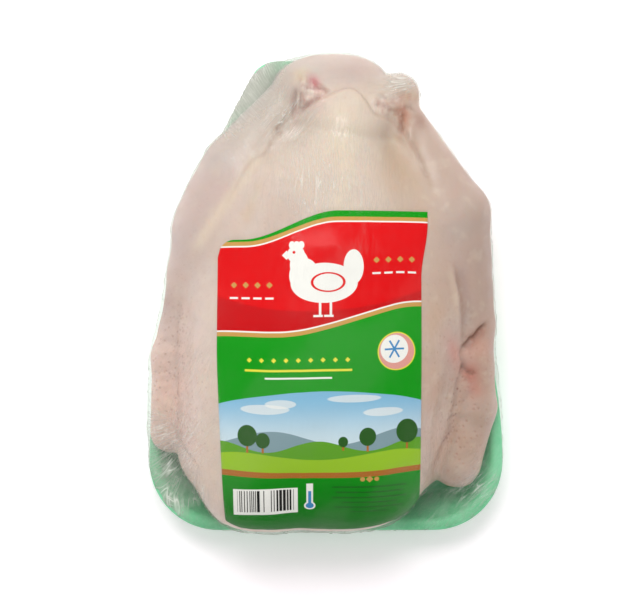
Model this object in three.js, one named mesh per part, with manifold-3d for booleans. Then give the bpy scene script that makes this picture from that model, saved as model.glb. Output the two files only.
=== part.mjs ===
// A whole raw chicken lying breast up on a foam tray, sealed in tight clear film over a
// printed label.
//
// Millimetres, +Z up. The origin is the middle of the tray's flat base. +Y points to the
// legs and tail, -Y to the neck, and +X is on the right of someone who looks down on the
// breast with the legs pointing away.
//
// Three solids:
//   tray             the foam tray, wide at the neck end and narrow at the leg end
//   wrapped_chicken  everything inside the film above the tray: the bird and the small air
//                    pockets that the stretched film spans beside it
//   label            the thin printed sheet that lies over the breast

import * as THREE from 'three';
import { mergeVertices } from 'three/addons/utils/BufferGeometryUtils.js';
import Module from 'manifold-3d';

const wasm = await Module();
wasm.setup();

// ---------------------------------------------------------------- driving dimensions

const PACK_HALF_LENGTH = 113;

const TRAY = {
  neckEnd: 113,        // from the middle to the neck-end edge
  legEnd: 110.5,       // from the middle to the leg-end edge, which the bird overhangs
  halfWide: 84.2,      // at the neck end
  halfNarrow: 31.4,    // at the leg end
  wideCorner: 33,      // plan radius of the neck-end corners
  narrowCorner: 15,    // plan radius of the leg-end corners
  wideShrink: 0.6,     // how much of an inset comes off the neck-end radius
  narrowShrink: 0.4,   // the same for the leg-end radius
  sideLean: 0.55,      // angle of the side where it meets the narrow corner, in radians
  sidePull: 56,        // how far the wide end's straight run steers the side curve
  cornerPull: 60,      // the same for the leaning run at the narrow end
  skew: -6.7,          // sideways shift of the leg end
  skewFrom: -70,       // where along the tray that shift begins
  height: 25,
  floor: 4.8,          // height of the inner floor
};

// The tray's cross-section as rings of [inset from the rim's outline, height], from the
// edge of the base up the outer wall, over the rolled lip and down to the inner floor.
const TRAY_SECTION = [
  [17, 0],
  [14.5, 1.6],
  [6, 17],
  [3.2, 20.6],
  [0.4, 21.4],
  [0, 22.6],
  [0.6, 24.2],
  [2.2, TRAY.height],
  [4.4, 24.8],
  [6, 23.4],
  [15, 8.2],
  [18.5, TRAY.floor],
];
const OUTLINE_STEPS = 40;     // along half of the outline

const WALL_SLOPE = 0.7;       // inward run of the tray's wall for each millimetre down
const WALL_THICKNESS = 6;     // at the rim, lip included
const GAP = 0.3;              // clearance between neighbouring solids

// The bird. Lengths run along the tray, heights are above the surface it stands on.
const BREAST = { at: [-6, -50, 43], radii: [58, 61, 43], power: 3.2, turn: -3 };
const BELLY = { at: [-1, -6, 42], radii: [57, 72, 42.5], power: 2.3, turn: -4 };
const BACK = { at: [-2, -8, 26], radii: [62, 96, 24], power: 2.6, turn: -4 };
const LEFT_SHOULDER = { at: [-31.5, -80, 40], radii: [26.5, 31.3, 36], power: 2.6 };
const KEEL = { from: [1, 28, 38], to: [8.8, 75, 45], startRadius: 45, endRadius: 19, flatness: 0.88 };

const LEFT_LEG = {
  hock: [-12.6, 96.2, 45],
  shin: [-42.4, 60.6, 42],
  knee: [-55.2, 29.1, 36],
  hip: [-34, 30, 26],
  radii: { hock: 8.5, shin: 12.8, knee: 14.6, hip: 24 },
  knob: [11, 10, 10],
  thigh: { at: [-42, 22, 32], radii: [25, 40, 25] },
};
const RIGHT_LEG = {
  hock: [33.5, 92, 45],
  shin: [61, 37, 42],
  knee: [64, 0, 34],
  hip: [42, 14, 26],
  radii: { hock: 4, shin: 15, knee: 13.2, hip: 24 },
  knob: [9.8, 9.8, 10],
  thigh: { at: [46, 8, 32], radii: [25, 46, 25] },
};

const THIGH_TUCK = 3;         // the thigh starts this much thinner than the knee

const LEFT_WING = {
  shoulder: [-54, -74, 32],
  elbow: [-63.3, 7, 31],
  middle: [-73.2, -30, 30],
  tip: [-73.6, -66, 27],
  radii: { shoulder: 15, elbow: 9.8, middle: 9, tip: 9.6 },
  crease: 12,
};
const RIGHT_WING = {
  shoulder: [44, -74, 32],
  elbow: [68.4, -17, 34],
  middle: [69.6, -54, 31],
  tip: [61.8, -80.3, 28],
  radii: { shoulder: 15, elbow: 10.2, middle: 10.5, tip: 11.7 },
  crease: 10,
};

const TAIL = { at: [3, 97, 33], radii: [26, 15.5, 17], power: 2.3 };
const VENT_SKIN = { at: [8, 90, 40], radii: [22, 14, 15], power: 2.2 };

// How softly the forms run into each other: a small value leaves a tight crease.
const CREASE = {
  breast: 16,
  keel: 12,
  back: 12,
  shoulder: 6,
  leg: 17,
  knee: 8,
  thigh: 14,
  bend: 3,
  tail: 6,
  tray: 4,
};

// The film's own sizes, then how it is drawn over the bird.
const FILM = {
  span: 10,            // reach of the film's hollow curve between the bird and the rim
  detail: 26,          // subdivision of the closed surface that is drawn over the bird
  centre: [0, -4, 16],
  start: [140, 170, 130],
  stepShare: 0.7,      // share of the distance to the surface that one step may cover
  leastStep: 0.04,
  closeEnough: 0.02,
  probe: 0.5,          // half the span over which the surface's direction is measured
  relaxRounds: 5,
  relaxPull: 0.5,      // share of the way to the middle of the neighbours in one round
  leastSlope: 0.25,    // lower limit of the field's squared slope when pushing out
};

const LABEL = {
  left: -49.5,         // its sides at the top
  right: 46.3,
  taper: 3.2,          // how far each side comes in lower down
  leftTaperFrom: 0.5,  // shares of the length between which the left side comes in
  leftTaperTo: 0.95,
  rightTaperFrom: 0.05,
  rightTaperTo: 0.3,
  topY: 24,            // the wavy top edge, near the left side
  topRise: 13,         // how much higher the top edge is near the right side
  riseFrom: -0.75,     // where across the label that rise begins and ends
  riseTo: 0.15,
  roundFrom: -0.84,    // where the top left corner starts to round off
  roundDrop: 8,
  bottomY: -65,        // where the last row aims, at the bird's middle height
  aimHeight: 20,
  wrapStart: 0.45,     // share of the length after which the label turns down the neck end
  wrapAngle: 0.88,     // turn at its lower edge, in radians
  cornerFrom: 0.93,    // share of the length after which the lower corners are rounded
  cornerCut: 7,
  startAbove: 100,     // how far outside the bird the search for its surface starts
  lift: 1.3,           // underside above the film's smooth surface
  thickness: 0.8,
  columns: 14,
  rows: 24,
};

const FOAM = { color: 0x9ed9bb, roughness: 0.6, metalness: 0 };
const SKIN = { color: 0xe3c6b4, roughness: 0.35, metalness: 0 };
const PRINT = { color: 0x2f9a3c, roughness: 0.45, metalness: 0 };

// ------------------------------------------------------------------- distance fields
// A field takes x, y, z and gives roughly the distance to a form, negative inside.

const clamp = THREE.MathUtils.clamp;

// An ellipsoid whose plan is squarer than an ellipse when power is above 2.
function pod({ at, radii, power = 2, turn = 0 }) {
  const angle = THREE.MathUtils.degToRad(turn);
  const cos = Math.cos(angle);
  const sin = Math.sin(angle);
  return (x, y, z) => {
    const dx = x - at[0];
    const dy = y - at[1];
    const across = Math.abs(dx * cos + dy * sin) / radii[0] + 1e-6;
    const along = Math.abs(dy * cos - dx * sin) / radii[1] + 1e-6;
    const up = Math.abs(z - at[2]) / radii[2];
    const plan = across ** power + along ** power;
    const reach = Math.sqrt(plan ** (2 / power) + up * up) + 1e-6;
    const pull = plan ** (2 / power - 1) / reach;
    const slope = Math.hypot(
      pull * across ** (power - 1) / radii[0],
      pull * along ** (power - 1) / radii[1],
      up / (radii[2] * reach),
    );
    return (reach - 1) / (slope + 1e-4);
  };
}

// A tapered round limb, flattened in height when flatness is below 1.
function limb({ from, to, startRadius, endRadius, flatness = 1 }) {
  const run = [to[0] - from[0], to[1] - from[1], to[2] - from[2]];
  const lengthSquared = run[0] ** 2 + run[1] ** 2 + run[2] ** 2;
  return (x, y, z) => {
    const dx = x - from[0];
    const dy = y - from[1];
    const dz = z - from[2];
    const t = clamp((dx * run[0] + dy * run[1] + dz * run[2]) / lengthSquared, 0, 1);
    const radius = THREE.MathUtils.lerp(startRadius, endRadius, t);
    return Math.hypot(dx - t * run[0], dy - t * run[1], (dz - t * run[2]) / flatness) - radius;
  };
}

function smoothMin(a, b, k) {
  const h = clamp(0.5 + 0.5 * (b - a) / k, 0, 1);
  return b + (a - b) * h - k * h * (1 - h);
}

const smoothMax = (a, b, k) => -smoothMin(-a, -b, k);

// ------------------------------------------------------------------------- the tray

// The tray's plan outline pulled in by inset all round, as a ring of points that starts
// at the middle of the neck end. A negative inset pushes it out.
function outline(inset) {
  const neck = inset - TRAY.neckEnd;
  const leg = TRAY.legEnd - inset;
  const wide = TRAY.halfWide - inset;
  const narrow = TRAY.halfNarrow - inset;
  const wideR = TRAY.wideCorner - TRAY.wideShrink * inset;
  const narrowR = TRAY.narrowCorner - TRAY.narrowShrink * inset;
  const lean = TRAY.sideLean;
  const sideTop = [
    narrow - narrowR + narrowR * Math.cos(lean),
    leg - narrowR + narrowR * Math.sin(lean),
  ];
  const path = new THREE.Path();
  path.moveTo(0, neck);
  path.lineTo(wide - wideR, neck);
  path.absarc(wide - wideR, neck + wideR, wideR, -Math.PI / 2, 0);
  path.bezierCurveTo(
    wide, neck + wideR + TRAY.sidePull,
    sideTop[0] + TRAY.cornerPull * Math.sin(lean), sideTop[1] - TRAY.cornerPull * Math.cos(lean),
    sideTop[0], sideTop[1],
  );
  path.absarc(narrow - narrowR, leg - narrowR, narrowR, lean, Math.PI / 2);
  path.lineTo(0, leg);
  const right = path.getSpacedPoints(OUTLINE_STEPS);
  const left = right.slice(1, -1).reverse().map((p) => new THREE.Vector2(-p.x, p.y));
  const ring = [...right, ...left];
  for (const p of ring) {
    const share = Math.max(p.y - TRAY.skewFrom, 0) / (TRAY.legEnd - TRAY.skewFrom);
    p.x += TRAY.skew * share ** 2;
  }
  return ring;
}

// A closed body through a list of [inset, height] rings, capped at both ends.
function loftGeometry(section) {
  const rings = section.map(([inset, height]) => outline(inset).map((p) => [p.x, p.y, height]));
  const count = rings[0].length;
  const positions = rings.flat(2);
  const firstCap = rings.length * count;
  const lastCap = firstCap + 1;
  positions.push(0, 0, section[0][1], 0, 0, section.at(-1)[1]);
  const index = [];
  for (let i = 0; i < count; i += 1) {
    const next = (i + 1) % count;
    index.push(firstCap, next, i);
    for (let ring = 0; ring < rings.length - 1; ring += 1) {
      const a = ring * count;
      const b = a + count;
      index.push(a + i, a + next, b + next, a + i, b + next, b + i);
    }
    const top = (rings.length - 1) * count;
    index.push(lastCap, top + i, top + next);
  }
  return indexedGeometry(positions, index);
}

function indexedGeometry(positions, index) {
  const geometry = new THREE.BufferGeometry();
  geometry.setAttribute('position', new THREE.Float32BufferAttribute(positions, 3));
  geometry.setIndex(index);
  return geometry;
}

// What the film's contents must keep clear of: the tray and all the space under and
// round it. Past the lip its upper face climbs outwards, under the overhanging thighs.
function trayClearanceGeometry() {
  const margin = 60;
  const lipRise = 1.6;
  const climb = 0.35;
  const inner = TRAY_SECTION.slice(-4).map(([inset, height]) => [inset + GAP, height + GAP]);
  return loftGeometry([
    [-margin, -margin],
    [-margin, TRAY.height + lipRise + climb * margin],
    [0, TRAY.height + lipRise],
    ...inner,
  ]);
}

const RIM = outline(0);

// Signed distance in plan to the rim's outline, negative inside.
function rimDistance(x, y) {
  let nearest = Infinity;
  let inside = false;
  for (let i = 0; i < RIM.length; i += 1) {
    const a = RIM[i];
    const b = RIM[(i + 1) % RIM.length];
    const ex = b.x - a.x;
    const ey = b.y - a.y;
    const t = clamp(((x - a.x) * ex + (y - a.y) * ey) / (ex * ex + ey * ey), 0, 1);
    nearest = Math.min(nearest, (x - a.x - t * ex) ** 2 + (y - a.y - t * ey) ** 2);
    if ((a.y > y) !== (b.y > y) && x < a.x + (y - a.y) / ey * ex) inside = !inside;
  }
  return inside ? -Math.sqrt(nearest) : Math.sqrt(nearest);
}

// ---------------------------------------------------------------------- the chicken

function trunkField() {
  const parts = [pod(BREAST), pod(BELLY), limb(KEEL), pod(BACK), pod(LEFT_SHOULDER)];
  return (x, y, z) => {
    const [breast, belly, keel, back, shoulder] = parts.map((part) => part(x, y, z));
    const front = smoothMin(smoothMin(breast, belly, CREASE.breast), keel, CREASE.keel);
    return smoothMin(smoothMin(front, back, CREASE.back), shoulder, CREASE.shoulder);
  };
}

function legField({ hock, shin, knee, hip, radii, knob, thigh }) {
  const drumstick = limb({ from: hock, to: shin, startRadius: radii.hock, endRadius: radii.shin });
  const calf = limb({ from: shin, to: knee, startRadius: radii.shin, endRadius: radii.knee });
  const upper = limb({ from: knee, to: hip, startRadius: radii.knee - THIGH_TUCK, endRadius: radii.hip });
  const joint = pod({ at: hock, radii: knob });
  const meat = pod(thigh);
  return (x, y, z) => {
    const shank = smoothMin(drumstick(x, y, z), calf(x, y, z), CREASE.bend);
    const leg = smoothMin(shank, upper(x, y, z), CREASE.knee);
    return smoothMin(smoothMin(leg, joint(x, y, z), CREASE.bend), meat(x, y, z), CREASE.thigh);
  };
}

// The inner end of the wing runs from the shoulder to the elbow, the rest folds back
// along the flank in a slight curve.
function wingField({ shoulder, elbow, middle, tip, radii }) {
  const bones = [
    limb({ from: shoulder, to: elbow, startRadius: radii.shoulder, endRadius: radii.elbow }),
    limb({ from: elbow, to: middle, startRadius: radii.elbow, endRadius: radii.middle }),
    limb({ from: middle, to: tip, startRadius: radii.middle, endRadius: radii.tip }),
  ];
  return (x, y, z) => {
    const [inner, outer, end] = bones.map((bone) => bone(x, y, z));
    return smoothMin(smoothMin(outer, end, CREASE.bend), inner, CREASE.bend);
  };
}

const TRUNK = trunkField();
const LEGS = [legField(LEFT_LEG), legField(RIGHT_LEG)];
const WINGS = [LEFT_WING, RIGHT_WING].map((wing) => [wingField(wing), wing.crease]);
const REAR = [pod(TAIL), pod(VENT_SKIN)];

// The bird sits in the tray: below the rim it stays inside the wall and above the floor.
function chickenField(x, y, z, rim) {
  let bird = TRUNK(x, y, z);
  for (const leg of LEGS) bird = smoothMin(bird, leg(x, y, z), CREASE.leg);
  for (const [wing, crease] of WINGS) bird = smoothMin(bird, wing(x, y, z), crease);
  for (const part of REAR) bird = smoothMin(bird, part(x, y, z), CREASE.tail);
  const belowRim = TRAY.height - z;
  const outsideWall = Math.min(belowRim, rim + WALL_THICKNESS + WALL_SLOPE * belowRim);
  return smoothMax(bird, Math.max(TRAY.floor - z, outsideWall), CREASE.tray);
}

// The stretched film: the bird and the filled tray, with a hollow curve between them. It
// is pulled in to the overall length and width of the pack.
function filmField(x, y, z) {
  const rim = rimDistance(x, y);
  const wall = rim + WALL_SLOPE * Math.max(TRAY.height - z, 0);
  const filledTray = Math.max(wall, z - TRAY.height, -z);
  const film = smoothMin(chickenField(x, y, z, rim), filledTray, FILM.span);
  return Math.max(film, Math.abs(x) + GAP - TRAY.halfWide, GAP - TRAY.neckEnd - y, y - PACK_HALF_LENGTH);
}

// Walks from start along direction until the field falls to level.
function walkTo(start, direction, level, farthest) {
  const spot = start.clone();
  let walked = 0;
  while (walked < farthest) {
    const distance = filmField(spot.x, spot.y, spot.z) - level;
    if (distance < FILM.closeEnough) break;
    const step = Math.max(FILM.stepShare * distance, FILM.leastStep);
    spot.addScaledVector(direction, step);
    walked += step;
  }
  return spot;
}

function filmGradient(p) {
  const e = FILM.probe;
  return new THREE.Vector3(
    filmField(p.x + e, p.y, p.z) - filmField(p.x - e, p.y, p.z),
    filmField(p.x, p.y + e, p.z) - filmField(p.x, p.y - e, p.z),
    filmField(p.x, p.y, p.z + e) - filmField(p.x, p.y, p.z - e),
  ).divideScalar(2 * e);
}

// Draws a closed sphere of triangles in onto the film's surface, then evens it out.
function filmGeometry() {
  const ball = new THREE.IcosahedronGeometry(1, FILM.detail);
  ball.deleteAttribute('normal');
  ball.deleteAttribute('uv');
  const skin = mergeVertices(ball);
  const position = skin.getAttribute('position');
  const centre = new THREE.Vector3(...FILM.centre);
  const points = [];
  for (let i = 0; i < position.count; i += 1) {
    const start = new THREE.Vector3().fromBufferAttribute(position, i);
    start.multiply(new THREE.Vector3(...FILM.start)).add(centre);
    const inward = centre.clone().sub(start);
    const reach = inward.length();
    points.push(walkTo(start, inward.normalize(), 0, reach));
  }
  relax(points, neighboursOf(skin));
  points.forEach((p, i) => position.setXYZ(i, p.x, p.y, p.z));
  return skin;
}

function neighboursOf(geometry) {
  const sets = Array.from({ length: geometry.getAttribute('position').count }, () => new Set());
  const index = geometry.getIndex().array;
  for (let i = 0; i < index.length; i += 3) {
    for (let corner = 0; corner < 3; corner += 1) {
      const a = index[i + corner];
      const b = index[i + (corner + 1) % 3];
      sets[a].add(b);
      sets[b].add(a);
    }
  }
  return sets.map((set) => [...set]);
}

// Each round pulls every point towards the middle of its neighbours, as tension in the
// film does, and then back out of the contents where it has sunk into them.
function relax(points, neighbours) {
  const middle = new THREE.Vector3();
  for (let round = 0; round < FILM.relaxRounds; round += 1) {
    const before = points.map((p) => p.clone());
    points.forEach((p, i) => {
      middle.set(0, 0, 0);
      for (const j of neighbours[i]) middle.add(before[j]);
      middle.divideScalar(neighbours[i].length);
      p.lerp(middle, FILM.relaxPull);
      const depth = filmField(p.x, p.y, p.z);
      const outward = filmGradient(p);
      const slope = Math.max(outward.lengthSq(), FILM.leastSlope);
      if (depth < 0) p.addScaledVector(outward, -depth / slope);
    });
  }
}

function toManifold(geometry) {
  return new wasm.Manifold(new wasm.Mesh({
    numProp: 3,
    vertProperties: new Float32Array(geometry.getAttribute('position').array),
    triVerts: new Uint32Array(geometry.getIndex().array),
  }));
}

function fromManifold(solid) {
  const mesh = solid.getMesh();
  return indexedGeometry([...mesh.vertProperties], [...mesh.triVerts]);
}

// ------------------------------------------------------------------------ the label

// How far up the bird the label's top edge is; u runs from -1 to 1 across the breast.
function labelTop(u) {
  const wave = LABEL.topY + LABEL.topRise * THREE.MathUtils.smoothstep(u, LABEL.riseFrom, LABEL.riseTo);
  const past = Math.max((LABEL.roundFrom - u) / (1 + LABEL.roundFrom), 0);
  return wave - LABEL.roundDrop * (1 - Math.sqrt(1 - past * past));
}

// A point of the label's underside or upper face. v runs from 0 at the top edge to 1 at
// the neck end.
function labelPoint(u, v, height) {
  const top = labelTop(u);
  const left = LABEL.left
    + LABEL.taper * THREE.MathUtils.smoothstep(v, LABEL.leftTaperFrom, LABEL.leftTaperTo);
  const right = LABEL.right
    - LABEL.taper * THREE.MathUtils.smoothstep(v, LABEL.rightTaperFrom, LABEL.rightTaperTo);
  const turned = THREE.MathUtils.smoothstep(v, LABEL.wrapStart, 1) * LABEL.wrapAngle;
  const rounding = THREE.MathUtils.smoothstep(v, LABEL.cornerFrom, 1) ** 2 * LABEL.cornerCut;
  const aim = new THREE.Vector3(
    (left + right) / 2 + u * ((right - left) / 2 - rounding),
    THREE.MathUtils.lerp(top, LABEL.bottomY, v),
    LABEL.aimHeight,
  );
  const inward = new THREE.Vector3(0, Math.sin(turned), -Math.cos(turned));
  const start = aim.clone().addScaledVector(inward, -LABEL.startAbove);
  return walkTo(start, inward, height, LABEL.startAbove);
}

function labelGeometry() {
  const { columns, rows } = LABEL;
  const across = columns + 1;
  const perFace = across * (rows + 1);
  const positions = [];
  for (const height of [LABEL.lift, LABEL.lift + LABEL.thickness]) {
    for (let row = 0; row <= rows; row += 1) {
      for (let column = 0; column <= columns; column += 1) {
        const p = labelPoint(2 * column / columns - 1, row / rows, height);
        positions.push(p.x, p.y, p.z);
      }
    }
  }
  const index = [];
  for (let row = 0; row < rows; row += 1) {
    for (let column = 0; column < columns; column += 1) {
      const a = row * across + column;
      const b = a + across;
      index.push(a, b + 1, b, a, a + 1, b + 1);
      index.push(...[a, b, b + 1, a, b + 1, a + 1].map((i) => perFace + i));
    }
  }
  const edge = [];
  for (let column = 0; column < columns; column += 1) edge.push(column);
  for (let row = 0; row < rows; row += 1) edge.push(row * across + columns);
  for (let column = columns; column > 0; column -= 1) edge.push(rows * across + column);
  for (let row = rows; row > 0; row -= 1) edge.push(row * across);
  edge.forEach((a, i) => {
    const b = edge[(i + 1) % edge.length];
    index.push(a, perFace + a, perFace + b, a, perFace + b, b);
  });
  return indexedGeometry(positions, index);
}

// ------------------------------------------------------------------------- the pack

function named(name, geometry, finish) {
  geometry.computeVertexNormals();
  const mesh = new THREE.Mesh(geometry, new THREE.MeshStandardMaterial(finish));
  mesh.name = name;
  return mesh;
}

const contents = toManifold(filmGeometry()).subtract(toManifold(trayClearanceGeometry()));

const pack = new THREE.Group();
pack.add(named('tray', loftGeometry(TRAY_SECTION), FOAM));
pack.add(named('wrapped_chicken', fromManifold(contents), SKIN));
pack.add(named('label', labelGeometry(), PRINT));

export default pack;
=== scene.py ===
"""A whole raw chicken, breast up on a mint foam tray, in tight clear film over a label.

The shapes are worked out in millimetres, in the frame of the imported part: +Z up, +Y
towards the legs and tail, the origin in the middle of the tray's flat base. They are
turned into metres when a mesh is made.
"""

import itertools
import math

import bpy
import numpy as np
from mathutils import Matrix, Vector
from mathutils.bvhtree import BVHTree


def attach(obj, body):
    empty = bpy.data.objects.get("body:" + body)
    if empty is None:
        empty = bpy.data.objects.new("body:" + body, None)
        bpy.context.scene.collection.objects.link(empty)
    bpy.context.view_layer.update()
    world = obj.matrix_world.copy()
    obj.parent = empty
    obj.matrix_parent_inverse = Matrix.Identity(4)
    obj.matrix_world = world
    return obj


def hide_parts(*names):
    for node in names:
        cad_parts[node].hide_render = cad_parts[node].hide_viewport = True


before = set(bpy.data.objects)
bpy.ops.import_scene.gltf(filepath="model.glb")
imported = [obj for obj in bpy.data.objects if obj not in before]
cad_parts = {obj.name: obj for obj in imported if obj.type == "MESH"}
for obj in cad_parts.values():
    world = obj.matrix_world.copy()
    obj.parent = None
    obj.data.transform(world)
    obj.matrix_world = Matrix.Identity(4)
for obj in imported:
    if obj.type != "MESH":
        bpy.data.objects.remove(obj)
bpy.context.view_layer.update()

MM = 0.001
FLOAT = np.float32

# ---- driving dimensions

TRAY_HALF_LENGTH = 113.0
TRAY_TOP = 110.5  # its narrow end, which the bird overhangs
TRAY_HALF_WIDE = 84.2
TRAY_HALF_NARROW = 31.4
TRAY_WIDE_CORNER = 33.0
TRAY_NARROW_CORNER = 15.0
TRAY_SIDE_LEAN = 0.55
TRAY_SKEW = -6.7  # its narrow end lies a little to one side
TRAY_SKEW_FROM = -70.0
TRAY_SIDE_PULL = 56.0
TRAY_CORNER_PULL = 60.0
RIM = 25.0
TRAY_FLOOR = 4.8
WALL_SLOPE = 0.7
WALL_THICKNESS = 6.0
TRAY_WOBBLE = 0.12
WALL_GAP, FLOOR_GAP = 0.5, 0.6  # between the bird and the tray

LABEL_LEFT, LABEL_RIGHT = -49.5, 46.3  # its sides at the top
LABEL_TAPER = 3.2  # how far each side comes in lower down
LABEL_MIDDLE_X, LABEL_HALF_WIDTH = -1.5, 47.0  # of its print
LABEL_TOP_Y = 24.0  # its wavy top edge, near the left side
LABEL_RISE = 13.0  # from there to the right side
LABEL_RISE_FROM, LABEL_RISE_TO = -0.75, 0.15
LABEL_ROUND_FROM, LABEL_ROUND = -0.84, 8.0  # where its top left corner starts to round off
LABEL_ZERO_Y = 40.0  # where lengths down the print are measured from
LABEL_BOTTOM_Y = -65.0
LABEL_AIM = 20.0  # height that the rays for its shape are aimed at
LABEL_RAY = 100.0  # how far out they start
LABEL_GAP = 0.3  # between it and the film
LABEL_WRAP_START, LABEL_WRAP = 0.45, 0.88  # where the rays start to turn, and how far
LABEL_THICKNESS = 0.16
LABEL_CRINKLE = 0.14
LABEL_CORNER = 7.0

# Shapes of the bird: the same named sizes as the part's source.
BREAST = dict(at=(-6, -50, 43), radii=(58, 61, 43), power=3.2, turn=-3)
BELLY = dict(at=(-1, -6, 42), radii=(57, 72, 42.5), power=2.3, turn=-4)
BACK = dict(at=(-2, -8, 26), radii=(62, 96, 24), power=2.6, turn=-4)
LEFT_SHOULDER = dict(at=(-31.5, -80, 40), radii=(26.5, 31.3, 36), power=2.6)
KEEL = dict(start=(1, 28, 38), end=(8.8, 75, 45), start_radius=45, end_radius=19, flatness=0.88)
LEFT_LEG = dict(
    hock=(-12.6, 96.2, 45), shin=(-42.4, 60.6, 42), knee=(-55.2, 29.1, 36), hip=(-34, 30, 26),
    radii=(8.5, 12.8, 14.6, 24), knob=(11, 10, 10),
    thigh=((-42, 22, 32), (25, 40, 25)),
)
RIGHT_LEG = dict(
    hock=(33.5, 92, 45), shin=(61, 37, 42), knee=(64, 0, 34), hip=(42, 14, 26),
    radii=(4, 15, 13.2, 24), knob=(9.8, 9.8, 10),
    thigh=((46, 8, 32), (25, 46, 25)),
)
LEFT_WING = dict(shoulder=(-54, -74, 32), elbow=(-63.3, 7, 31), middle=(-73.2, -30, 30),
                 tip=(-73.6, -66, 27), radii=(15, 9.8, 9, 9.6))
RIGHT_WING = dict(shoulder=(44, -74, 32), elbow=(68.4, -17, 34), middle=(69.6, -54, 31),
                  tip=(61.8, -80.3, 28), radii=(15, 10.2, 10.5, 11.7))
TAIL = dict(at=(3, 97, 33), radii=(26, 15.5, 17), power=2.3)
VENT_SKIN = dict(at=(8, 90, 40), radii=(22, 14, 15), power=2.2)

# How softly the forms run into each other under the pull of the film.
BLEND_BREAST, BLEND_KEEL, BLEND_BACK = 16.0, 12.0, 12.0
BLEND_LEG, BLEND_KNEE, BLEND_THIGH, BLEND_BEND = 17.0, 8.0, 14.0, 3.0
BLEND_SHOULDER, BLEND_LEFT_WING, BLEND_RIGHT_WING = 6.0, 12.0, 10.0
BLEND_TAIL, BLEND_TRAY, BLEND_FILM = 6.0, 4.0, 10.0

GRID_STEP = 1.06  # of the sampled field that the bird is cut from
BIRD_BOX = (-90, -118, 1), (90, 118, 93)
SKIN_LIMIT = 0.36  # the highest fold, so that it stays under the film
UNDER_LABEL = 0.45  # how far the skin is pressed down by the label
BREAST_DROP = 1.5  # from the breast's tip to the skin round the vent
LEFT_CUT, RIGHT_CUT = 1.5, 1.0  # how deep the two openings are
FOLD_ENDS = 0.15  # the share of a fold's length over which it dies away
FOLD_LEAST = 0.25  # the share of its size that is left at its very ends
SIDE_LUMPS = 0.3  # height of the lumps where the skin is steep
CREASE_DARK, CREASE_DARKEST = 0.8, 1.5  # painted shade in the creases: its strength, and the depth that has all of it

FILM_CELLS = 124  # along each side of the film's six patches
FILM_BOX = (-90, -119, -6), (90, 119, 94)
FILM_MIDDLE = (0, -4, 14)
FILM_START = (130, 165, 110)  # half sizes of the ball that it is drawn in from
FILM_CORE = (62, 78, 0)  # and of the flat core that it is drawn towards
FILM_STOP = 0.4  # how near it is drawn to the field before it relaxes
FILM_ROUNDS = 40
FILM_CLEARANCE = 0.5  # film above the bird's own surface
FILM_FROM_TRAY, FILM_FROM_TABLE = 0.45, 0.12
FILM_PROUD = 0.4  # how far the film may stand out past the tray
MARCH_ROUNDS, MARCH_PACE = 70, 0.75
CREST_HEIGHT, CROSSING_HEIGHT, RIPPLE_HEIGHT, SIDE_FOLD_HEIGHT = 0.55, 0.1, 0.08, 0.45
STREAK_RADIUS = 19.0  # where spread streaks are as far apart as straight ones
STREAK_BEND = 2.2
STREAK_REACH = 0.06  # the strength of a gather from which on its streaks are the nearest
STREAK_LENGTH = 0.12  # along the streaks, against 1 across them

MAP_STEP = 0.5  # of the plan maps of folds and colours
MAP_LOW = (-96.0, -124.0)


# ---- distances

def pod(x, y, z, at, radii, power=2.0, turn=0.0):
    """Distance to an ellipsoid whose plan is squarer than an ellipse above power 2."""
    across, along = turned(x - FLOAT(at[0]), y - FLOAT(at[1]), turn)
    across, along = np.abs(across) / radii[0] + 1e-6, np.abs(along) / radii[1] + 1e-6
    up = np.abs(z - FLOAT(at[2])) / radii[2]
    plan = across ** power + along ** power
    reach = np.sqrt(plan ** (2 / power) + up * up) + 1e-6
    pull = plan ** (2 / power - 1) / reach
    steepness = np.sqrt(
        (pull * across ** (power - 1) / radii[0]) ** 2
        + (pull * along ** (power - 1) / radii[1]) ** 2
        + (up / (radii[2] * reach)) ** 2
    )
    return (reach - 1) / (steepness + 1e-4)


def limb(x, y, z, start, end, start_radius, end_radius, flatness=1.0):
    """Distance to a tapered round limb, flattened in height below flatness 1."""
    run = np.subtract(end, start).astype(FLOAT)
    dx, dy, dz = x - FLOAT(start[0]), y - FLOAT(start[1]), z - FLOAT(start[2])
    t = np.clip((dx * run[0] + dy * run[1] + dz * run[2]) / float(run @ run), 0, 1)
    radius = start_radius + (end_radius - start_radius) * t
    dx, dy, dz = dx - t * run[0], dy - t * run[1], (dz - t * run[2]) / flatness
    return np.sqrt(dx * dx + dy * dy + dz * dz) - radius


def smooth_min(a, b, k):
    h = np.clip(0.5 + 0.5 * (b - a) / k, 0, 1)
    return b + (a - b) * h - k * h * (1 - h)


def smooth_max(a, b, k):
    return -smooth_min(-a, -b, k)


def smooth_step(low, high, value):
    t = np.clip((value - low) / (high - low), 0, 1)
    return t * t * (3 - 2 * t)


def slope(field, points, step):
    """The gradient of a field at points of shape (n, 3)."""
    shifts = step * np.eye(3, dtype=FLOAT)
    return np.stack([field(points + s) - field(points - s) for s in shifts], 1) / (2 * step)


def interpolate(values, places, eased=False):
    """Values between the points of a lattice, at places counted in its steps."""
    cells = [p.astype(int) for p in places]
    shares = [(p - c).astype(FLOAT) for p, c in zip(places, cells)]
    if eased:
        shares = [smooth_step(0, 1, s) for s in shares]
    total = 0
    for corner in itertools.product((0, 1), repeat=len(cells)):
        weight = math.prod(s if bit else 1 - s for bit, s in zip(corner, shares))
        total = total + weight * values[tuple(c + bit for bit, c in zip(corner, cells))]
    return total


def look_up(values, low, step, places):
    """Values between the points of a lattice that starts at low, at places in space."""
    return interpolate(values, [
        np.clip((place - start) / step, 0, count - 1.001)
        for place, start, count in zip(places, low, values.shape)])


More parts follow.
